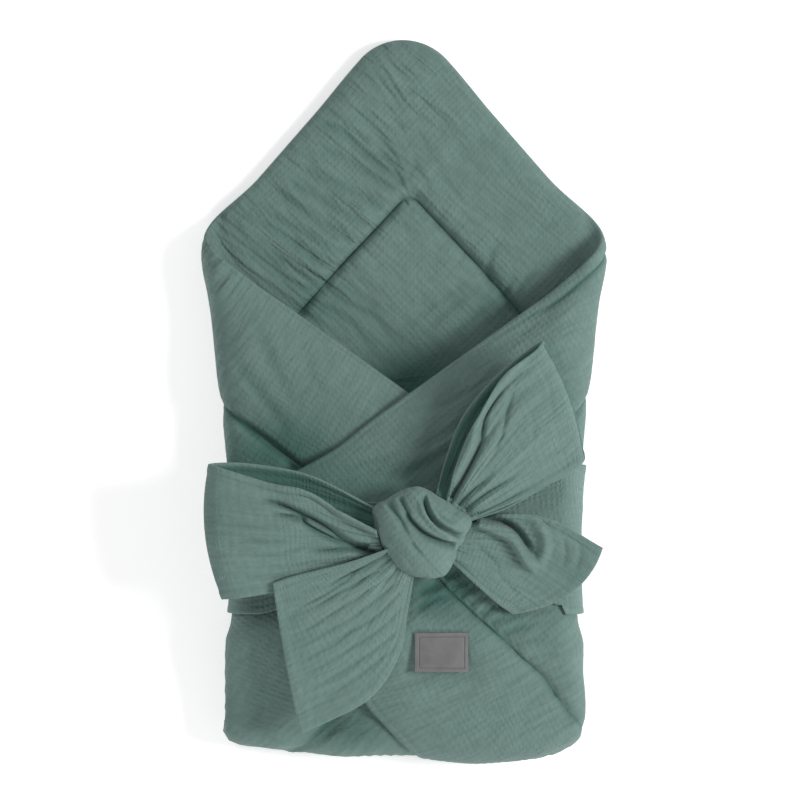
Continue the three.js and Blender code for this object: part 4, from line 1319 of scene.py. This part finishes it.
    def build(self) -> bpy.types.Object:
        """Builds the quilt.

        Returns:
            Its object.
        """
        lines = self.lines()
        p, q = np.meshgrid(lines, lines, indexing="ij")
        inner, inner_shade = self.face(p, q, 1)
        outer, outer_shade = self.face(p, q, -1)
        edge = np.zeros(p.shape, bool)
        for rim in (np.s_[0], np.s_[-1], np.s_[:, 0], np.s_[:, -1]):
            edge[rim] = True
        middle = (inner + outer) / 2.0
        inner[edge] = middle[edge]
        outer[edge] = middle[edge]
        cloth = np.stack(self.warp(*self.folds.rounded(p, q)), axis=-1)
        shell = Shell()
        shell.skin(shell.add_grid(inner, cloth, inner_shade))
        shell.skin(shell.add_grid(outer, cloth, outer_shade), flip=True)
        piece = shell.make("quilt_soft", QUILT_CLOTH.material())
        self.mark_puckers(piece)
        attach(piece, "root")
        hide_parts("quilt")
        return piece


@dataclass(frozen=True)
class Row:
    """One row of a gathered strip.

    a and b are its ends on the two hems, bulge is how far its middle is pushed outward, and arch how far up.
    """

    a: tuple[float, float, float]
    b: tuple[float, float, float]
    bulge: float = 0.0
    arch: float = 0.0


class Gather(Enum):
    """How a strip of the sash ends at the knot."""

    LOOP = "both ends go into the knot"
    TAIL = "one end goes into the knot"


def curve_through(places: np.ndarray, count: np.ndarray) -> np.ndarray:
    """Points of the smooth curve through the places.

    Args:
        places: The places, a row for each.
        count: Where along it points are wanted, from 0 to 1.

    Returns:
        The points, a row for each.
    """
    last = len(places) - 1
    padded = np.vstack([2 * places[0] - places[1], places, 2 * places[-1] - places[-2]])
    result = []
    for share in np.clip(count, 0.0, 1.0) * last:
        k = min(int(share), last - 1)
        t = share - k
        p0, p1, p2, p3 = padded[k : k + 4]
        d0, d1, d2 = (max(np.linalg.norm(v) ** 0.5, 1e-4) for v in (p1 - p0, p2 - p1, p3 - p2))
        leave = ((p1 - p0) / d0 - (p2 - p0) / (d0 + d1) + (p2 - p1) / d1) * d1
        arrive = ((p2 - p1) / d1 - (p3 - p1) / (d1 + d2) + (p3 - p2) / d2) * d1
        square = 3 * (p2 - p1) - 2 * leave - arrive
        cube = 2 * (p1 - p2) + leave + arrive
        result.append(p1 + leave * t + square * t * t + cube * t**3)
    return np.array(result)


@dataclass
class SashStrip:
    """A strip of the sash between its two hems, gathered into the knot, with listed folds on top."""

    name: str
    node: str
    rows: tuple[Row, ...]
    outward: tuple[float, float]
    gather: Gather
    length: float  # of the flat cloth
    creases: tuple[Crease, ...] = ()
    crinkle: Crinkle = Crinkle(8.0, 60.0, 1.4)  # along it
    rests_on: tuple[str, ...] = ()
    seed: int = 1
    width: float = 134.0
    lift: float = 1.4  # how far it lies above its hems' places
    pitch: float = 1.5  # of the grid
    half: float = 0.8  # half the thickness
    hem: float = 8.0  # width of the turned hem
    gathers: Crinkle = Crinkle(22.0, 200.0, 5.0)  # at the knot
    area: float | None = None  # of the flat cloth in square metres, where it isn't a rectangle

    def lines_across(self) -> np.ndarray:
        """Places the grid's lines across the strip, close together at the hems.

        Returns:
            Their shares of the width.
        """
        hem = np.array([0.0, 0.4, 1.0, 2.2, 3.8, 5.6, 7.0, 7.8, 8.4, 9.4, 11.0])
        between = np.linspace(13.0, self.width - 13.0, int((self.width - 26.0) / self.pitch) + 1)
        return np.concatenate([hem, between, self.width - hem[::-1]]) / self.width

    def lines_along(self) -> np.ndarray:
        """Places the grid's lines along the strip, close together at a cut end.

        Returns:
            Their shares of the length.
        """
        count = int(self.length / self.pitch)
        if self.gather is Gather.LOOP:
            return np.linspace(0.0, 1.0, count)
        end = np.array([12.0, 10.4, 9.2, 8.4, 7.8, 7.0, 5.6, 3.8, 2.2, 1.0, 0.4, 0.0])
        body = np.linspace(0.0, 1.0 - 14.0 / self.length, count)
        return np.concatenate([body, 1.0 - end / self.length])

    def surface(self, s: np.ndarray, w: np.ndarray) -> np.ndarray:
        """Lays the middle surface between the two hems.

        Args:
            s: Shares along the strip.
            w: Shares across it.

        Returns:
            Its points, rows along by columns across.
        """
        hem_a = curve_through(np.array([row.a for row in self.rows], float), s)
        hem_b = curve_through(np.array([row.b for row in self.rows], float), s)
        place = np.clip(s, 0.0, 1.0) * (len(self.rows) - 1)
        knots = np.arange(len(self.rows))
        eased = np.floor(place) + smooth(0.0, 1.0, place - np.floor(place))
        bulge = np.interp(eased, knots, [row.bulge for row in self.rows])
        arch = np.interp(eased, knots, [row.arch for row in self.rows])
        points = hem_a[:, None] * (1.0 - w[None, :, None]) + hem_b[:, None] * w[None, :, None]
        push = bulge[:, None] * 4.0 * w * (1.0 - w)
        points[..., 0] += self.outward[0] * push
        points[..., 1] += self.outward[1] * push
        points[..., 2] += self.lift + arch[:, None] * np.sin(math.pi * w)
        return points + ORIGIN

    def is_on_top(self, s: np.ndarray) -> np.ndarray:
        """Finds where the strip is its own upper layer.

        Args:
            s: Shares along the strip.

        Returns:
            1 where it is and 0 where it lies under that layer.
        """
        if self.gather is Gather.TAIL:
            return np.ones_like(s)
        return smooth(0.5, 0.56, s)

    def inside(self, s: np.ndarray, w: np.ndarray, up: np.ndarray) -> np.ndarray:
        """How much painted shade a face of the strip gets where it looks into the loop.

        Args:
            s: Shares along the strip.
            w: Shares across it.
            up: The upward part of the face's direction at each point.

        Returns:
            A share from 0 to 1 for each point.
        """
        if self.gather is Gather.TAIL:
            return np.zeros((len(s), len(w)))
        inward = np.where(s[:, None] < 0.5, up, -up)
        from_hem = np.minimum(w, 1.0 - w)[None, :] * self.width
        return 0.8 * smooth(-0.1, 0.2, inward) * smooth(1.5, 5.0, from_hem)

    def detailed(self, s: np.ndarray, w: np.ndarray) -> tuple[np.ndarray, np.ndarray]:
        """Puts gathers, crinkles and creases on the middle surface.

        Args:
            s: Shares along the strip.
            w: Shares across it.

        Returns:
            Its points, and how much painted shade each has, darker where it is pressed in and along the hem's
            stitch line.
        """
        points = self.surface(s, w)
        noise = SmoothNoise(self.seed)
        along, across = np.meshgrid(s * self.length, w * self.width, indexing="ij")
        near = np.exp(-along / 70.0)
        if self.gather is Gather.LOOP:
            near = near + np.exp(-(self.length - along) / 70.0)
        calm = smooth(0.0, 9.0, np.minimum(across, self.width - across))
        lift = self.crinkle.on(noise, across, along) * (0.4 + 0.6 * calm)
        lift = lift + near * self.gathers.on(noise, across + 71.0, along)
        lift = lift + 1.2 * noise.at(across / 50.0, along / 50.0)
        top = self.is_on_top(s)[:, None]
        lift = lift + top * crease_lift(points, self.creases)
        points[..., 2] += lift
        from_hem = np.minimum(across, self.width - across)
        # painted shade along the hem's stitch line
        stitch = 0.18 * np.exp(-(((from_hem - self.hem + 0.4) / 0.9) ** 2))
        return points, np.clip(-lift * 0.1, 0.0, 0.6) + stitch

    def thickness(self, s: np.ndarray, w: np.ndarray) -> np.ndarray:
        """Works out the thickness: full in the hem, with its stitch line, and thinner inside it.

        Args:
            s: Shares along the strip.
            w: Shares across it.

        Returns:
            Half the thickness at each point.
        """
        along, across = np.meshgrid(s * self.length, w * self.width, indexing="ij")
        edge = np.minimum(across, self.width - across)
        if self.gather is Gather.TAIL:
            edge = np.minimum(edge, self.length - along)
        hem = 0.8 * (1.0 - smooth(self.hem, self.hem + 0.8, edge))
        stitch = 0.5 * np.exp(-(((edge - self.hem + 0.4) / 0.6) ** 2))
        body = self.half + hem - stitch
        return body * np.sqrt(1.0 - (1.0 - np.clip(edge / 1.2, 0.0, 1.0)) ** 2) + 0.12

    def build(self) -> bpy.types.Object:
        """Builds the strip.

        Returns:
            Its object.
        """
        s, w = self.lines_along(), self.lines_across()
        middle, painted_shade = self.detailed(s, w)
        normal = unit(np.cross(np.gradient(middle, axis=0), np.gradient(middle, axis=1)))
        half = self.thickness(s, w)[..., None]
        cloth = np.stack(np.meshgrid(w * self.width, s * self.length), axis=-1)
        shell = Shell()
        # painted shade of each face, with more where it looks into a loop
        front = shell.add_grid(middle + normal * half, cloth, painted_shade + self.inside(s, w, normal[..., 2]))
        back = shell.add_grid(middle - normal * half, cloth, painted_shade + self.inside(s, w, -normal[..., 2]))
        shell.skin(front)
        shell.skin(back, flip=True)
        for edge in (np.s_[:, 0], np.s_[:, -1], np.s_[0, :], np.s_[-1, :]):
            shell.wall(front[edge], back[edge])
        piece = shell.make(self.name, SASH_CLOTH.material())
        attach(piece, "root")
        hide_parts(self.node)
        return piece


LEFT_LOOP = SashStrip(
    name="bow_left_loop_soft",
    node="bow_left_loop",
    gather=Gather.LOOP,
    outward=(-1.0, 0.0),
    length=352.0,
    seed=41,
    rests_on=("quilt_soft", "sash_band_soft"),
    rows=(
        Row((-22, -112, 110), (-19, -151, 107)),
        Row((-65, -89, 102), (-60, -169, 101), 0, -3),
        Row((-90, -77, 100), (-87, -180, 100), 0, -5),
        Row((-114, -70, 99), (-114, -189, 100), 0, -6),
        Row((-165, -63, 101), (-163, -197, 101), 2, -5),
        Row((-193, -64, 110), (-180, -198, 107), 11),
        Row((-184, -67, 120), (-169, -197, 112), 8, 4),
        Row((-128, -84, 124), (-114, -187, 109), 0, 8),
        Row((-98, -90, 125), (-86, -178, 109), 0, 8),
        Row((-67, -109, 124), (-60, -169, 109), 0, 6),
        Row((-29, -130, 121), (-21, -152, 112), 0, 1),
    ),
    creases=LEFT_LOOP_CREASES,
)

RIGHT_LOOP = SashStrip(
    name="bow_right_loop_soft",
    node="bow_right_loop",
    gather=Gather.LOOP,
    outward=(0.68, 0.73),
    length=290.0,
    seed=57,
    rests_on=("quilt_soft", "sash_band_soft"),
    rows=(
        Row((30, -94, 109), (64, -121, 107)),
        Row((39, -60, 104), (103, -107, 107), 0, -1),
        Row((57, -16, 103), (138, -87, 104), 0, -1),
        Row((93, 26, 103), (166, -72, 101), 2),
        Row((134, 57, 106), (176, -60, 107), 9),
        Row((129, 49, 116), (172, -66, 114), 7, 4),
        Row((97, 23, 122), (152, -79, 114), 0, 8),
        Row((67, -26, 123), (113, -99, 115), 0, 7),
        Row((48, -72, 121), (83, -112, 116), 0, 4),
        Row((40, -101, 116), (64, -119, 115)),
    ),
    creases=RIGHT_LOOP_CREASES,
)

LEFT_TAIL = SashStrip(
    name="bow_left_tail_soft",
    node="bow_left_tail",
    gather=Gather.TAIL,
    outward=(-0.85, -0.5),
    length=163.0,
    seed=73,
    rests_on=("bow_left_loop_soft", "quilt_soft"),
    rows=(
        Row((-17, -147, 123), (9, -170, 113)),
        Row((-55, -160, 121), (2, -211, 103), 0, 2),
        Row((-86, -168, 120), (-4, -248, 98), 0, 2),
        Row((-114, -175, 119), (-33, -295, 93)),
        Row((-131, -181, 117), (-104, -333, 88), 2, -2),
    ),
    creases=LEFT_TAIL_CREASES,
)

RIGHT_TAIL = SashStrip(
    name="bow_right_tail_soft",
    node="bow_right_tail",
    gather=Gather.TAIL,
    outward=(0.75, -0.66),
    length=118.0,
    area=0.0138,
    seed=91,
    rests_on=("quilt_soft", "sash_band_soft"),
    rows=(
        Row((57, -126, 104.3), (47, -162, 104.3)),
        Row((93, -114, 101.3), (72, -186, 101.3), 0, -1),
        Row((141, -118, 104.3), (91, -203, 98.3), 3),
        Row((195, -147, 108.3), (106, -213, 96.3), 18, 2),
    ),
    creases=RIGHT_TAIL_CREASES,
)


@dataclass
class SashBand:
    """The part of the sash that goes round the wrap: a ring laid on the quilt, gathered at the knot."""

    width: float = BAND_WIDTH
    knot_width: float = 58.0
    y: float = BAND_MIDDLE
    knot: tuple[float, float] = (16.3, -131.5)
    clear: float = 0.5
    half: float = 0.8
    flat: float = 150.0  # half the width of the path inside the wrap from which the band is laid
    low: float = 34.0  # height of that path's lower side
    high: float = 58.0  # and of its upper side
    around: tuple[int, int, int] = (96, 26, 60)  # stations on its upper side, each end and its lower side
    hem: float = 8.0
    side_puff: float = 2.5  # how much plumper it is at the wrap's sides
    crinkle: Crinkle = Crinkle(9.0, 70.0, 0.45)
    gathers: Crinkle = Crinkle(22.0, 160.0, 3.2)  # at the knot
    pulls: int = 160  # rounds in which it is pulled taut
    close_pulls: int = 14  # how many of them reach the wrap's sides too
    eases: int = 24  # rounds in which its bends are eased
    sink: float = 0.8  # how far it may then press into the quilt

    def stations(self) -> np.ndarray:
        """Places stations on the path inside the wrap, all round, from the middle of its underside.

        Returns:
            For each station its x and z, and the x and z of the outward direction.
        """
        top, side, under = self.around
        middle, half = (self.low + self.high) / 2.0, (self.high - self.low) / 2.0
        turn = np.arange(side) / side * math.pi
        rise, out, ends = half * np.cos(turn), np.sin(turn), np.cos(turn)
        to_right = np.linspace(-self.flat, self.flat, top, endpoint=False)
        to_left = np.linspace(self.flat, -self.flat, under, endpoint=False)
        sides = (
            (to_right, np.full(top, self.high), np.zeros(top), np.ones(top)),
            (np.full(side, self.flat), middle + rise, out, ends),
            (to_left, np.full(under, self.low), np.zeros(under), -np.ones(under)),
            (np.full(side, -self.flat), middle - rise, -out, -ends),
        )
        rows = np.concatenate([np.stack(columns, axis=1) for columns in sides])
        return np.roll(rows, -(top + side + under // 2), axis=0)

    def lines_across(self) -> np.ndarray:
        """Places the grid's lines across the band, close together at the hems.

        Returns:
            Their shares of the width.
        """
        hem = np.array([0.0, 0.5, 1.2, 3.0, 5.4, 7.0, 7.8, 8.4, 9.4, 11.4])
        between = np.linspace(14.0, self.width - 14.0, 36)
        return np.concatenate([hem, between, self.width - hem[::-1]]) / self.width

    def wrap_points(self, wrap: bpy.types.Object) -> np.ndarray:
        """Reads the points of the wrap that lie near the band.

        Args:
            wrap: The quilt's object.

        Returns:
            Their places, a row for each.
        """
        cloud = np.zeros(len(wrap.data.vertices) * 3, np.float32)
        wrap.data.vertices.foreach_get("co", cloud)
        cloud = cloud.reshape(-1, 3) / MM - ORIGIN
        return cloud[np.abs(cloud[:, 1] - self.y) < self.width / 2.0 + 12.0]

    @staticmethod
    def reach_of(cloud: np.ndarray, stations: np.ndarray, lines: np.ndarray) -> np.ndarray:
        """Feels how far out the wrap is.

        Args:
            cloud: Points of the wrap.
            stations: The stations on the path inside it.
            lines: For each station, where along the wrap it is felt.

        Returns:
            The distance from each station, stations by lines.
        """
        reach = np.zeros(lines.shape)
        for i, (x, z, nx, nz) in enumerate(stations):
            out = (cloud[:, 0] - x) * nx + (cloud[:, 2] - z) * nz
            aside = np.abs((cloud[:, 0] - x) * nz - (cloud[:, 2] - z) * nx)
            near = (aside < (7.0 if abs(nz) > 0.7 else 4.5)) & (out > 0.0)
            beside, outs = cloud[near, 1], out[near]
            for j, y in enumerate(lines[i]):
                hits = outs[np.abs(beside - y) < 5.0]
                reach[i, j] = hits.max() if len(hits) else 0.0
        return reach

    def pulled_taut(self, reach: np.ndarray, is_level: np.ndarray) -> np.ndarray:
        """Pulls the band taut over the hollows of the wrap, and eases its bends.

        Args:
            reach: How far out the wrap is, stations by lines.
            is_level: Whether each station faces up or down.

        Returns:
            How far out the band is.
        """
        for pull in range(self.pulls):
            ring = (np.roll(reach, 1, axis=0) + np.roll(reach, -1, axis=0)) / 2.0
            pulled = np.maximum(reach, ring)
            if pull > self.close_pulls:
                pulled = np.where(is_level[:, None], pulled, reach)
            reach = pulled
        taut = reach
        for _ in range(self.eases):
            reach = (2.0 * reach + np.roll(reach, 1, axis=0) + np.roll(reach, -1, axis=0)) / 4.0
            reach = np.maximum(reach, taut - self.sink)
        return reach

    def thickness(self, across: np.ndarray) -> np.ndarray:
        """Works out the thickness: full in the hem, with its stitch line, and thinner inside it.

        Args:
            across: Places across the band.

        Returns:
            Half the thickness at each place.
        """
        edge = np.minimum(across, self.width - across)
        thick = self.half + 0.3 * (1.0 - smooth(self.hem, self.hem + 0.8, edge))
        thick = thick - 0.35 * np.exp(-(((edge - self.hem + 0.4) / 0.6) ** 2))
        return thick * np.sqrt(1.0 - (1.0 - np.clip(edge / 1.2, 0.0, 1.0)) ** 2) + 0.12

    def middle_surface(self, wrap: bpy.types.Object, shares: np.ndarray) -> np.ndarray:
        """Lays the band's middle surface on the wrap.

        Args:
            wrap: The quilt's object.
            shares: Where the grid has lines, as shares of the width.

        Returns:
            Its points, rows round the wrap by columns across the band.
        """
        stations = self.stations()
        on_top = stations[:, 3] > 0.99
        away = np.abs(stations[:, 0] - self.knot[0])
        gathered = np.where(on_top, 1.0 - smooth(50.0, 165.0, away), 0.0)
        middle = self.y + (self.knot[1] - self.y) * gathered
        width = self.width + (self.knot_width - self.width) * gathered
        coarse = np.linspace(0.0, 1.0, 21)
        lines = middle[:, None] + width[:, None] * (0.5 - coarse[None, :])
        reach = self.reach_of(self.wrap_points(wrap), stations, lines)
        reach = self.pulled_taut(reach, np.abs(stations[:, 3]) > 0.7)
        fine = np.array([np.interp(shares, coarse, row) for row in reach])
        noise = SmoothNoise(5)
        walk = np.arange(len(stations))[:, None] * 7.0
        across = shares[None, :] * self.width
        lift = 0.5 + self.crinkle.on(noise, across, walk)
        folds = self.gathers.height / 2.0 + self.gathers.on(noise, across + 37.0, walk)
        lift = lift + gathered[:, None] * folds
        out = fine + self.clear + self.half + lift + self.side_puff * np.abs(stations[:, 2:3])
        grid = np.zeros((len(stations), len(shares), 3))
        grid[..., 0] = stations[:, 0:1] + stations[:, 2:3] * out
        grid[..., 1] = middle[:, None] + width[:, None] * (0.5 - shares[None, :])
        grid[..., 2] = np.maximum(stations[:, 1:2] + stations[:, 3:4] * out, 1.1)
        return grid + ORIGIN

    def build(self, wrap: bpy.types.Object) -> bpy.types.Object:
        """Lays the band on the wrap.

        Args:
            wrap: The quilt's object.

        Returns:
            The band's object.
        """
        shares = self.lines_across()
        grid = self.middle_surface(wrap, shares)
        closed = np.concatenate([grid[-1:], grid, grid[:1]])
        normal = unit(np.cross(np.gradient(closed, axis=0), np.gradient(closed, axis=1)))[1:-1]
        thick = self.thickness(shares * self.width)[None, :, None]
        outer, inner = grid + normal * thick, grid - normal * thick
        outer, inner, grid = (np.concatenate([rows, rows[:1]]) for rows in (outer, inner, grid))
        step = np.linalg.norm(np.diff(grid[:, len(shares) // 2], axis=0), axis=1)
        walked = np.concatenate([[0.0], np.cumsum(step)])
        cloth = np.stack(np.meshgrid(shares * self.width, walked), axis=-1)
        shell = Shell()
        front, back = shell.add_grid(outer, cloth), shell.add_grid(inner, cloth)
        shell.skin(front)
        shell.skin(back, flip=True)
        for column in (0, -1):
            shell.wall(front[:, column], back[:, column])
        piece = shell.make("sash_band_soft", SASH_CLOTH.material())
        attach(piece, "root")
        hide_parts("sash_band")
        return piece


@dataclass
class Knot:
    """The knot: three wraps of the gathered sash over one another, on the band."""

    middle: tuple[float, float, float] = (16.3, -131.5, 110.9)
    up: float = 30.0
    down: float = 14.0
    square: float = 2.4  # how square its form is: 2 is an ellipsoid
    around: int = 300
    rings: int = 150
    slant: tuple[float, float] = (0.77, 0.64)  # the way across its crinkles
    crinkle: Crinkle = Crinkle(9.0, 40.0, 1.0)
    # how far out its outline is at some angles, in degrees
    outline: tuple[tuple[float, float], ...] = (
        (-170, 43), (-147, 40), (-113, 43), (-95, 45), (-65, 48), (-41, 43), (-25, 39), (-8, 43), (15, 51),
        (35, 42), (62, 39), (102, 46), (132, 47), (154, 54), (170, 48),
    )

    def radius(self, direction: np.ndarray) -> np.ndarray:
        """Works out the knot's form.

        Args:
            direction: Directions from its middle.

        Returns:
            The distance to its surface in each direction.
        """
        angle = np.degrees(np.arctan2(direction[..., 1], direction[..., 0]))
        table = np.array(self.outline, float)
        angles = np.concatenate([table[-3:, 0] - 360.0, table[:, 0], table[:3, 0] + 360.0])
        radii = np.concatenate([table[-3:, 1], table[:, 1], table[:3, 1]])
        pick = np.clip(np.searchsorted(angles, angle, side="right") - 1, 0, len(angles) - 2)
        share = smooth(0.0, 1.0, (angle - angles[pick]) / (angles[pick + 1] - angles[pick]))
        level = radii[pick] + (radii[pick + 1] - radii[pick]) * share
        across = np.hypot(direction[..., 0], direction[..., 1]) / level
        upright = np.abs(direction[..., 2]) / np.where(direction[..., 2] > 0.0, self.up, self.down)
        return (across**self.square + upright**self.square) ** (-1.0 / self.square)

    def build(self) -> bpy.types.Object:
        """Builds the knot.

        Returns:
            Its object.
        """
        tilt = np.linspace(0.0, math.pi, self.rings + 1)[1:-1]
        turn = np.arange(self.around + 1) / self.around * 2.0 * math.pi
        tilts, turns = np.meshgrid(tilt, turn, indexing="ij")
        ring = np.sin(tilts)
        direction = np.stack([ring * np.cos(turns), ring * np.sin(turns), np.cos(tilts)], axis=-1)
        middle = np.array(self.middle) + ORIGIN
        points = middle + direction * self.radius(direction)[..., None]
        noise = SmoothNoise(17)
        shown = smooth(-0.35, 0.1, direction[..., 2])
        lean = points[..., 0] * self.slant[0] + points[..., 1] * self.slant[1]
        aside = points[..., 0] * self.slant[1] - points[..., 1] * self.slant[0]
        lift = shown * (self.crinkle.on(noise, lean, aside) + crease_lift(points, KNOT_CREASES))
        points = points + direction * lift[..., None]
        cloth = np.stack([lean, aside], axis=-1)
        shell = Shell()
        # painted shade, darker where the crinkles and creases press the knot in
        grid = shell.add_grid(points, cloth, np.clip(-lift * 0.09, 0.0, 0.6))
        shell.skin(grid)
        for ring, flip in ((points[0], False), (points[-1], True)):
            centre = np.repeat(ring.mean(0, keepdims=True), len(ring), axis=0)
            cap = shell.add_grid(np.stack([ring, centre]), np.stack([cloth[0], cloth[0]]))
            shell.skin(cap, flip)
        piece = shell.make("bow_knot_soft", SASH_CLOTH.material())
        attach(piece, "root")
        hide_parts("bow_knot")
        return piece


@dataclass
class LabelPatch:
    """The small label sewn on the right flap, left blank: a padded plate with a pressed frame line."""

    width: float = 53.0
    height: float = 40.0
    thick: float = 1.5
    corner: float = 2.5
    edge: float = 0.22  # how far its sharp edges are softened
    # the pressed frame line, from the outside in: how wide each step is and how far it goes up
    frame: tuple[tuple[float, float], ...] = ((3.2, 0.0), (0.5, -0.7), (0.7, 0.0), (0.5, 0.7))

    def build(self, node: bpy.types.Object) -> bpy.types.Object:
        """Models the label where its solid lies.

        Args:
            node: The label's CAD node, which says where it is and how it is tilted.

        Returns:
            The label's object.
        """
        corners = np.array([v.co for v in node.data.vertices])
        centre = (corners.min(0) + corners.max(0)) / 2.0
        plane = np.c_[corners[:, :2] - centre[:2], np.ones(len(corners))]
        slope = np.linalg.lstsq(plane, corners[:, 2], rcond=None)[0]
        bpy.ops.object.select_all(action="DESELECT")
        bpy.ops.mesh.primitive_cube_add(size=1.0, location=(0.0, 0.0, 0.0))
        piece = bpy.context.object
        piece.name = "label_patch"
        piece.data.name = "label_patch"
        piece.scale = (self.width * MM, self.height * MM, self.thick * MM)
        bpy.ops.object.transform_apply(location=False, rotation=False, scale=True)
        bpy.ops.object.mode_set(mode="EDIT")
        self._bevel_corners(piece)
        self._press_frame(piece)
        bpy.ops.object.mode_set(mode="OBJECT")
        bevel = piece.modifiers.new("soft_edges", "BEVEL")
        bevel.width = self.edge * MM
        bevel.segments = 2
        bevel.limit_method = "ANGLE"
        bpy.ops.object.modifier_apply(modifier=bevel.name)
        piece.rotation_euler = (math.atan(slope[1]), -math.atan(slope[0]), 0.0)
        piece.location = Vector(centre)
        bpy.ops.object.transform_apply(location=True, rotation=True, scale=True)
        bpy.ops.object.shade_smooth_by_angle(angle=math.radians(35.0))
        piece.data.materials.append(LABEL_STOCK.material())
        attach(piece, "root")
        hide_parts("patch")
        return piece

    def _bevel_corners(self, piece: bpy.types.Object) -> None:
        """Rounds the four upright edges.

        Args:
            piece: The label, in edit mode.
        """
        build = bmesh.from_edit_mesh(piece.data)
        for edge in build.edges:
            way = edge.verts[0].co - edge.verts[1].co
            edge.select_set(abs(way.z) > 0.9 * way.length)
        bmesh.update_edit_mesh(piece.data)
        bpy.ops.mesh.bevel(offset=self.corner * MM, segments=5, affect="EDGES")

    def _press_frame(self, piece: bpy.types.Object) -> None:
        """Presses a frame line into the upper face, inside a raised rim.

        Args:
            piece: The label, in edit mode.
        """
        for thickness, depth in self.frame:
            build = bmesh.from_edit_mesh(piece.data)
            upper = [face for face in build.faces if face.normal.z > 0.9]
            inner = min(upper, key=lambda face: face.calc_center_median().xy.length)
            for face in build.faces:
                face.select_set(False)
            inner.select_set(True)
            bmesh.update_edit_mesh(piece.data)
            bpy.ops.mesh.inset(thickness=thickness * MM, depth=depth * MM)


@dataclass(frozen=True)
class Softbox:
    """A square soft light that faces the wrap, in metres and watts."""

    name: str
    place: tuple[float, float, float]
    side: float
    power: float

    def add(self) -> None:
        """Adds it to the scene."""
        light = bpy.data.lights.new(self.name, "AREA")
        light.size = self.side
        light.energy = self.power
        holder = bpy.data.objects.new(self.name, light)
        holder.location = self.place
        holder.rotation_euler = (-Vector(self.place)).to_track_quat("-Z", "Y").to_euler()
        bpy.context.scene.collection.objects.link(holder)


@dataclass
class Studio:
    """The pale floor, the soft lights and the camera straight above."""

    floor_side: float = 12.0  # in metres
    floor_drop: float = 0.5
    floor_tone: float = 0.9
    floor_glow: float = 0.42  # it keeps the floor as pale as the picture's ground
    sky: float = 0.39
    lights: tuple[Softbox, ...] = (
        Softbox("key_right", (2.14, 0.0, 1.80), 0.9, 60.0),
        Softbox("fill_upper_left", (-1.27, 1.27, 2.15), 0.8, 10.0),
        Softbox("fill_below", (-0.6, -2.46, 1.18), 0.9, 19.0),
    )

    def build(self) -> None:
        """Makes the stage, the lights and the camera."""
        scene = bpy.context.scene
        scene.view_settings.view_transform = "Standard"
        world = bpy.data.worlds.new("soft_white")
        world.use_nodes = True
        background = world.node_tree.nodes["Background"]
        background.inputs["Color"].default_value = (1.0, 1.0, 1.0, 1.0)
        background.inputs["Strength"].default_value = self.sky
        scene.world = world
        self._floor()
        for light in self.lights:
            light.add()
        camera = bpy.data.cameras.new("camera")
        camera.sensor_width = SENSOR
        camera.lens = SENSOR * (CAMERA[2] - SIGHT_Z) / PICTURE_SIDE
        holder = bpy.data.objects.new("camera", camera)
        holder.location = Vector(CAMERA * MM)
        scene.collection.objects.link(holder)
        scene.camera = holder

    def _floor(self) -> None:
        """Makes the plain pale floor."""
        bpy.ops.object.select_all(action="DESELECT")
        place = (0.0, 0.0, -self.floor_drop * MM)
        bpy.ops.mesh.primitive_plane_add(size=self.floor_side, location=place)
        floor = bpy.context.object
        floor.name = "floor"
        paint = bpy.data.materials.new("floor_paint")
        wiring = Wiring.of(paint)
        surface = {
            "Base Color": (self.floor_tone, self.floor_tone, self.floor_tone, 1.0),
            "Emission Color": (1.0, 1.0, 1.0, 1.0),
            "Emission Strength": self.floor_glow,
            "Roughness": 0.9,
            "Specular IOR Level": 0.0,
        }
        wiring.feed(wiring.nodes["Principled BSDF"], surface)
        floor.data.materials.append(paint)


def main() -> None:
    """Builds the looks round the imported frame."""
    logging.basicConfig(level=logging.INFO, format="%(name)s: %(message)s")
    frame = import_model()
    Studio().build()
    quilt = Quilt().build()
    pieces = [quilt, SashBand().build(quilt), Knot().build()]
    pieces += [strip.build() for strip in (LEFT_LOOP, RIGHT_LOOP, LEFT_TAIL, RIGHT_TAIL)]
    pieces.append(LabelPatch().build(frame["nodes"]["patch"]))
    for piece in pieces:
        log.info("%s has %d faces", piece.name, len(piece.data.polygons))


if __name__ == "__main__":
    main()
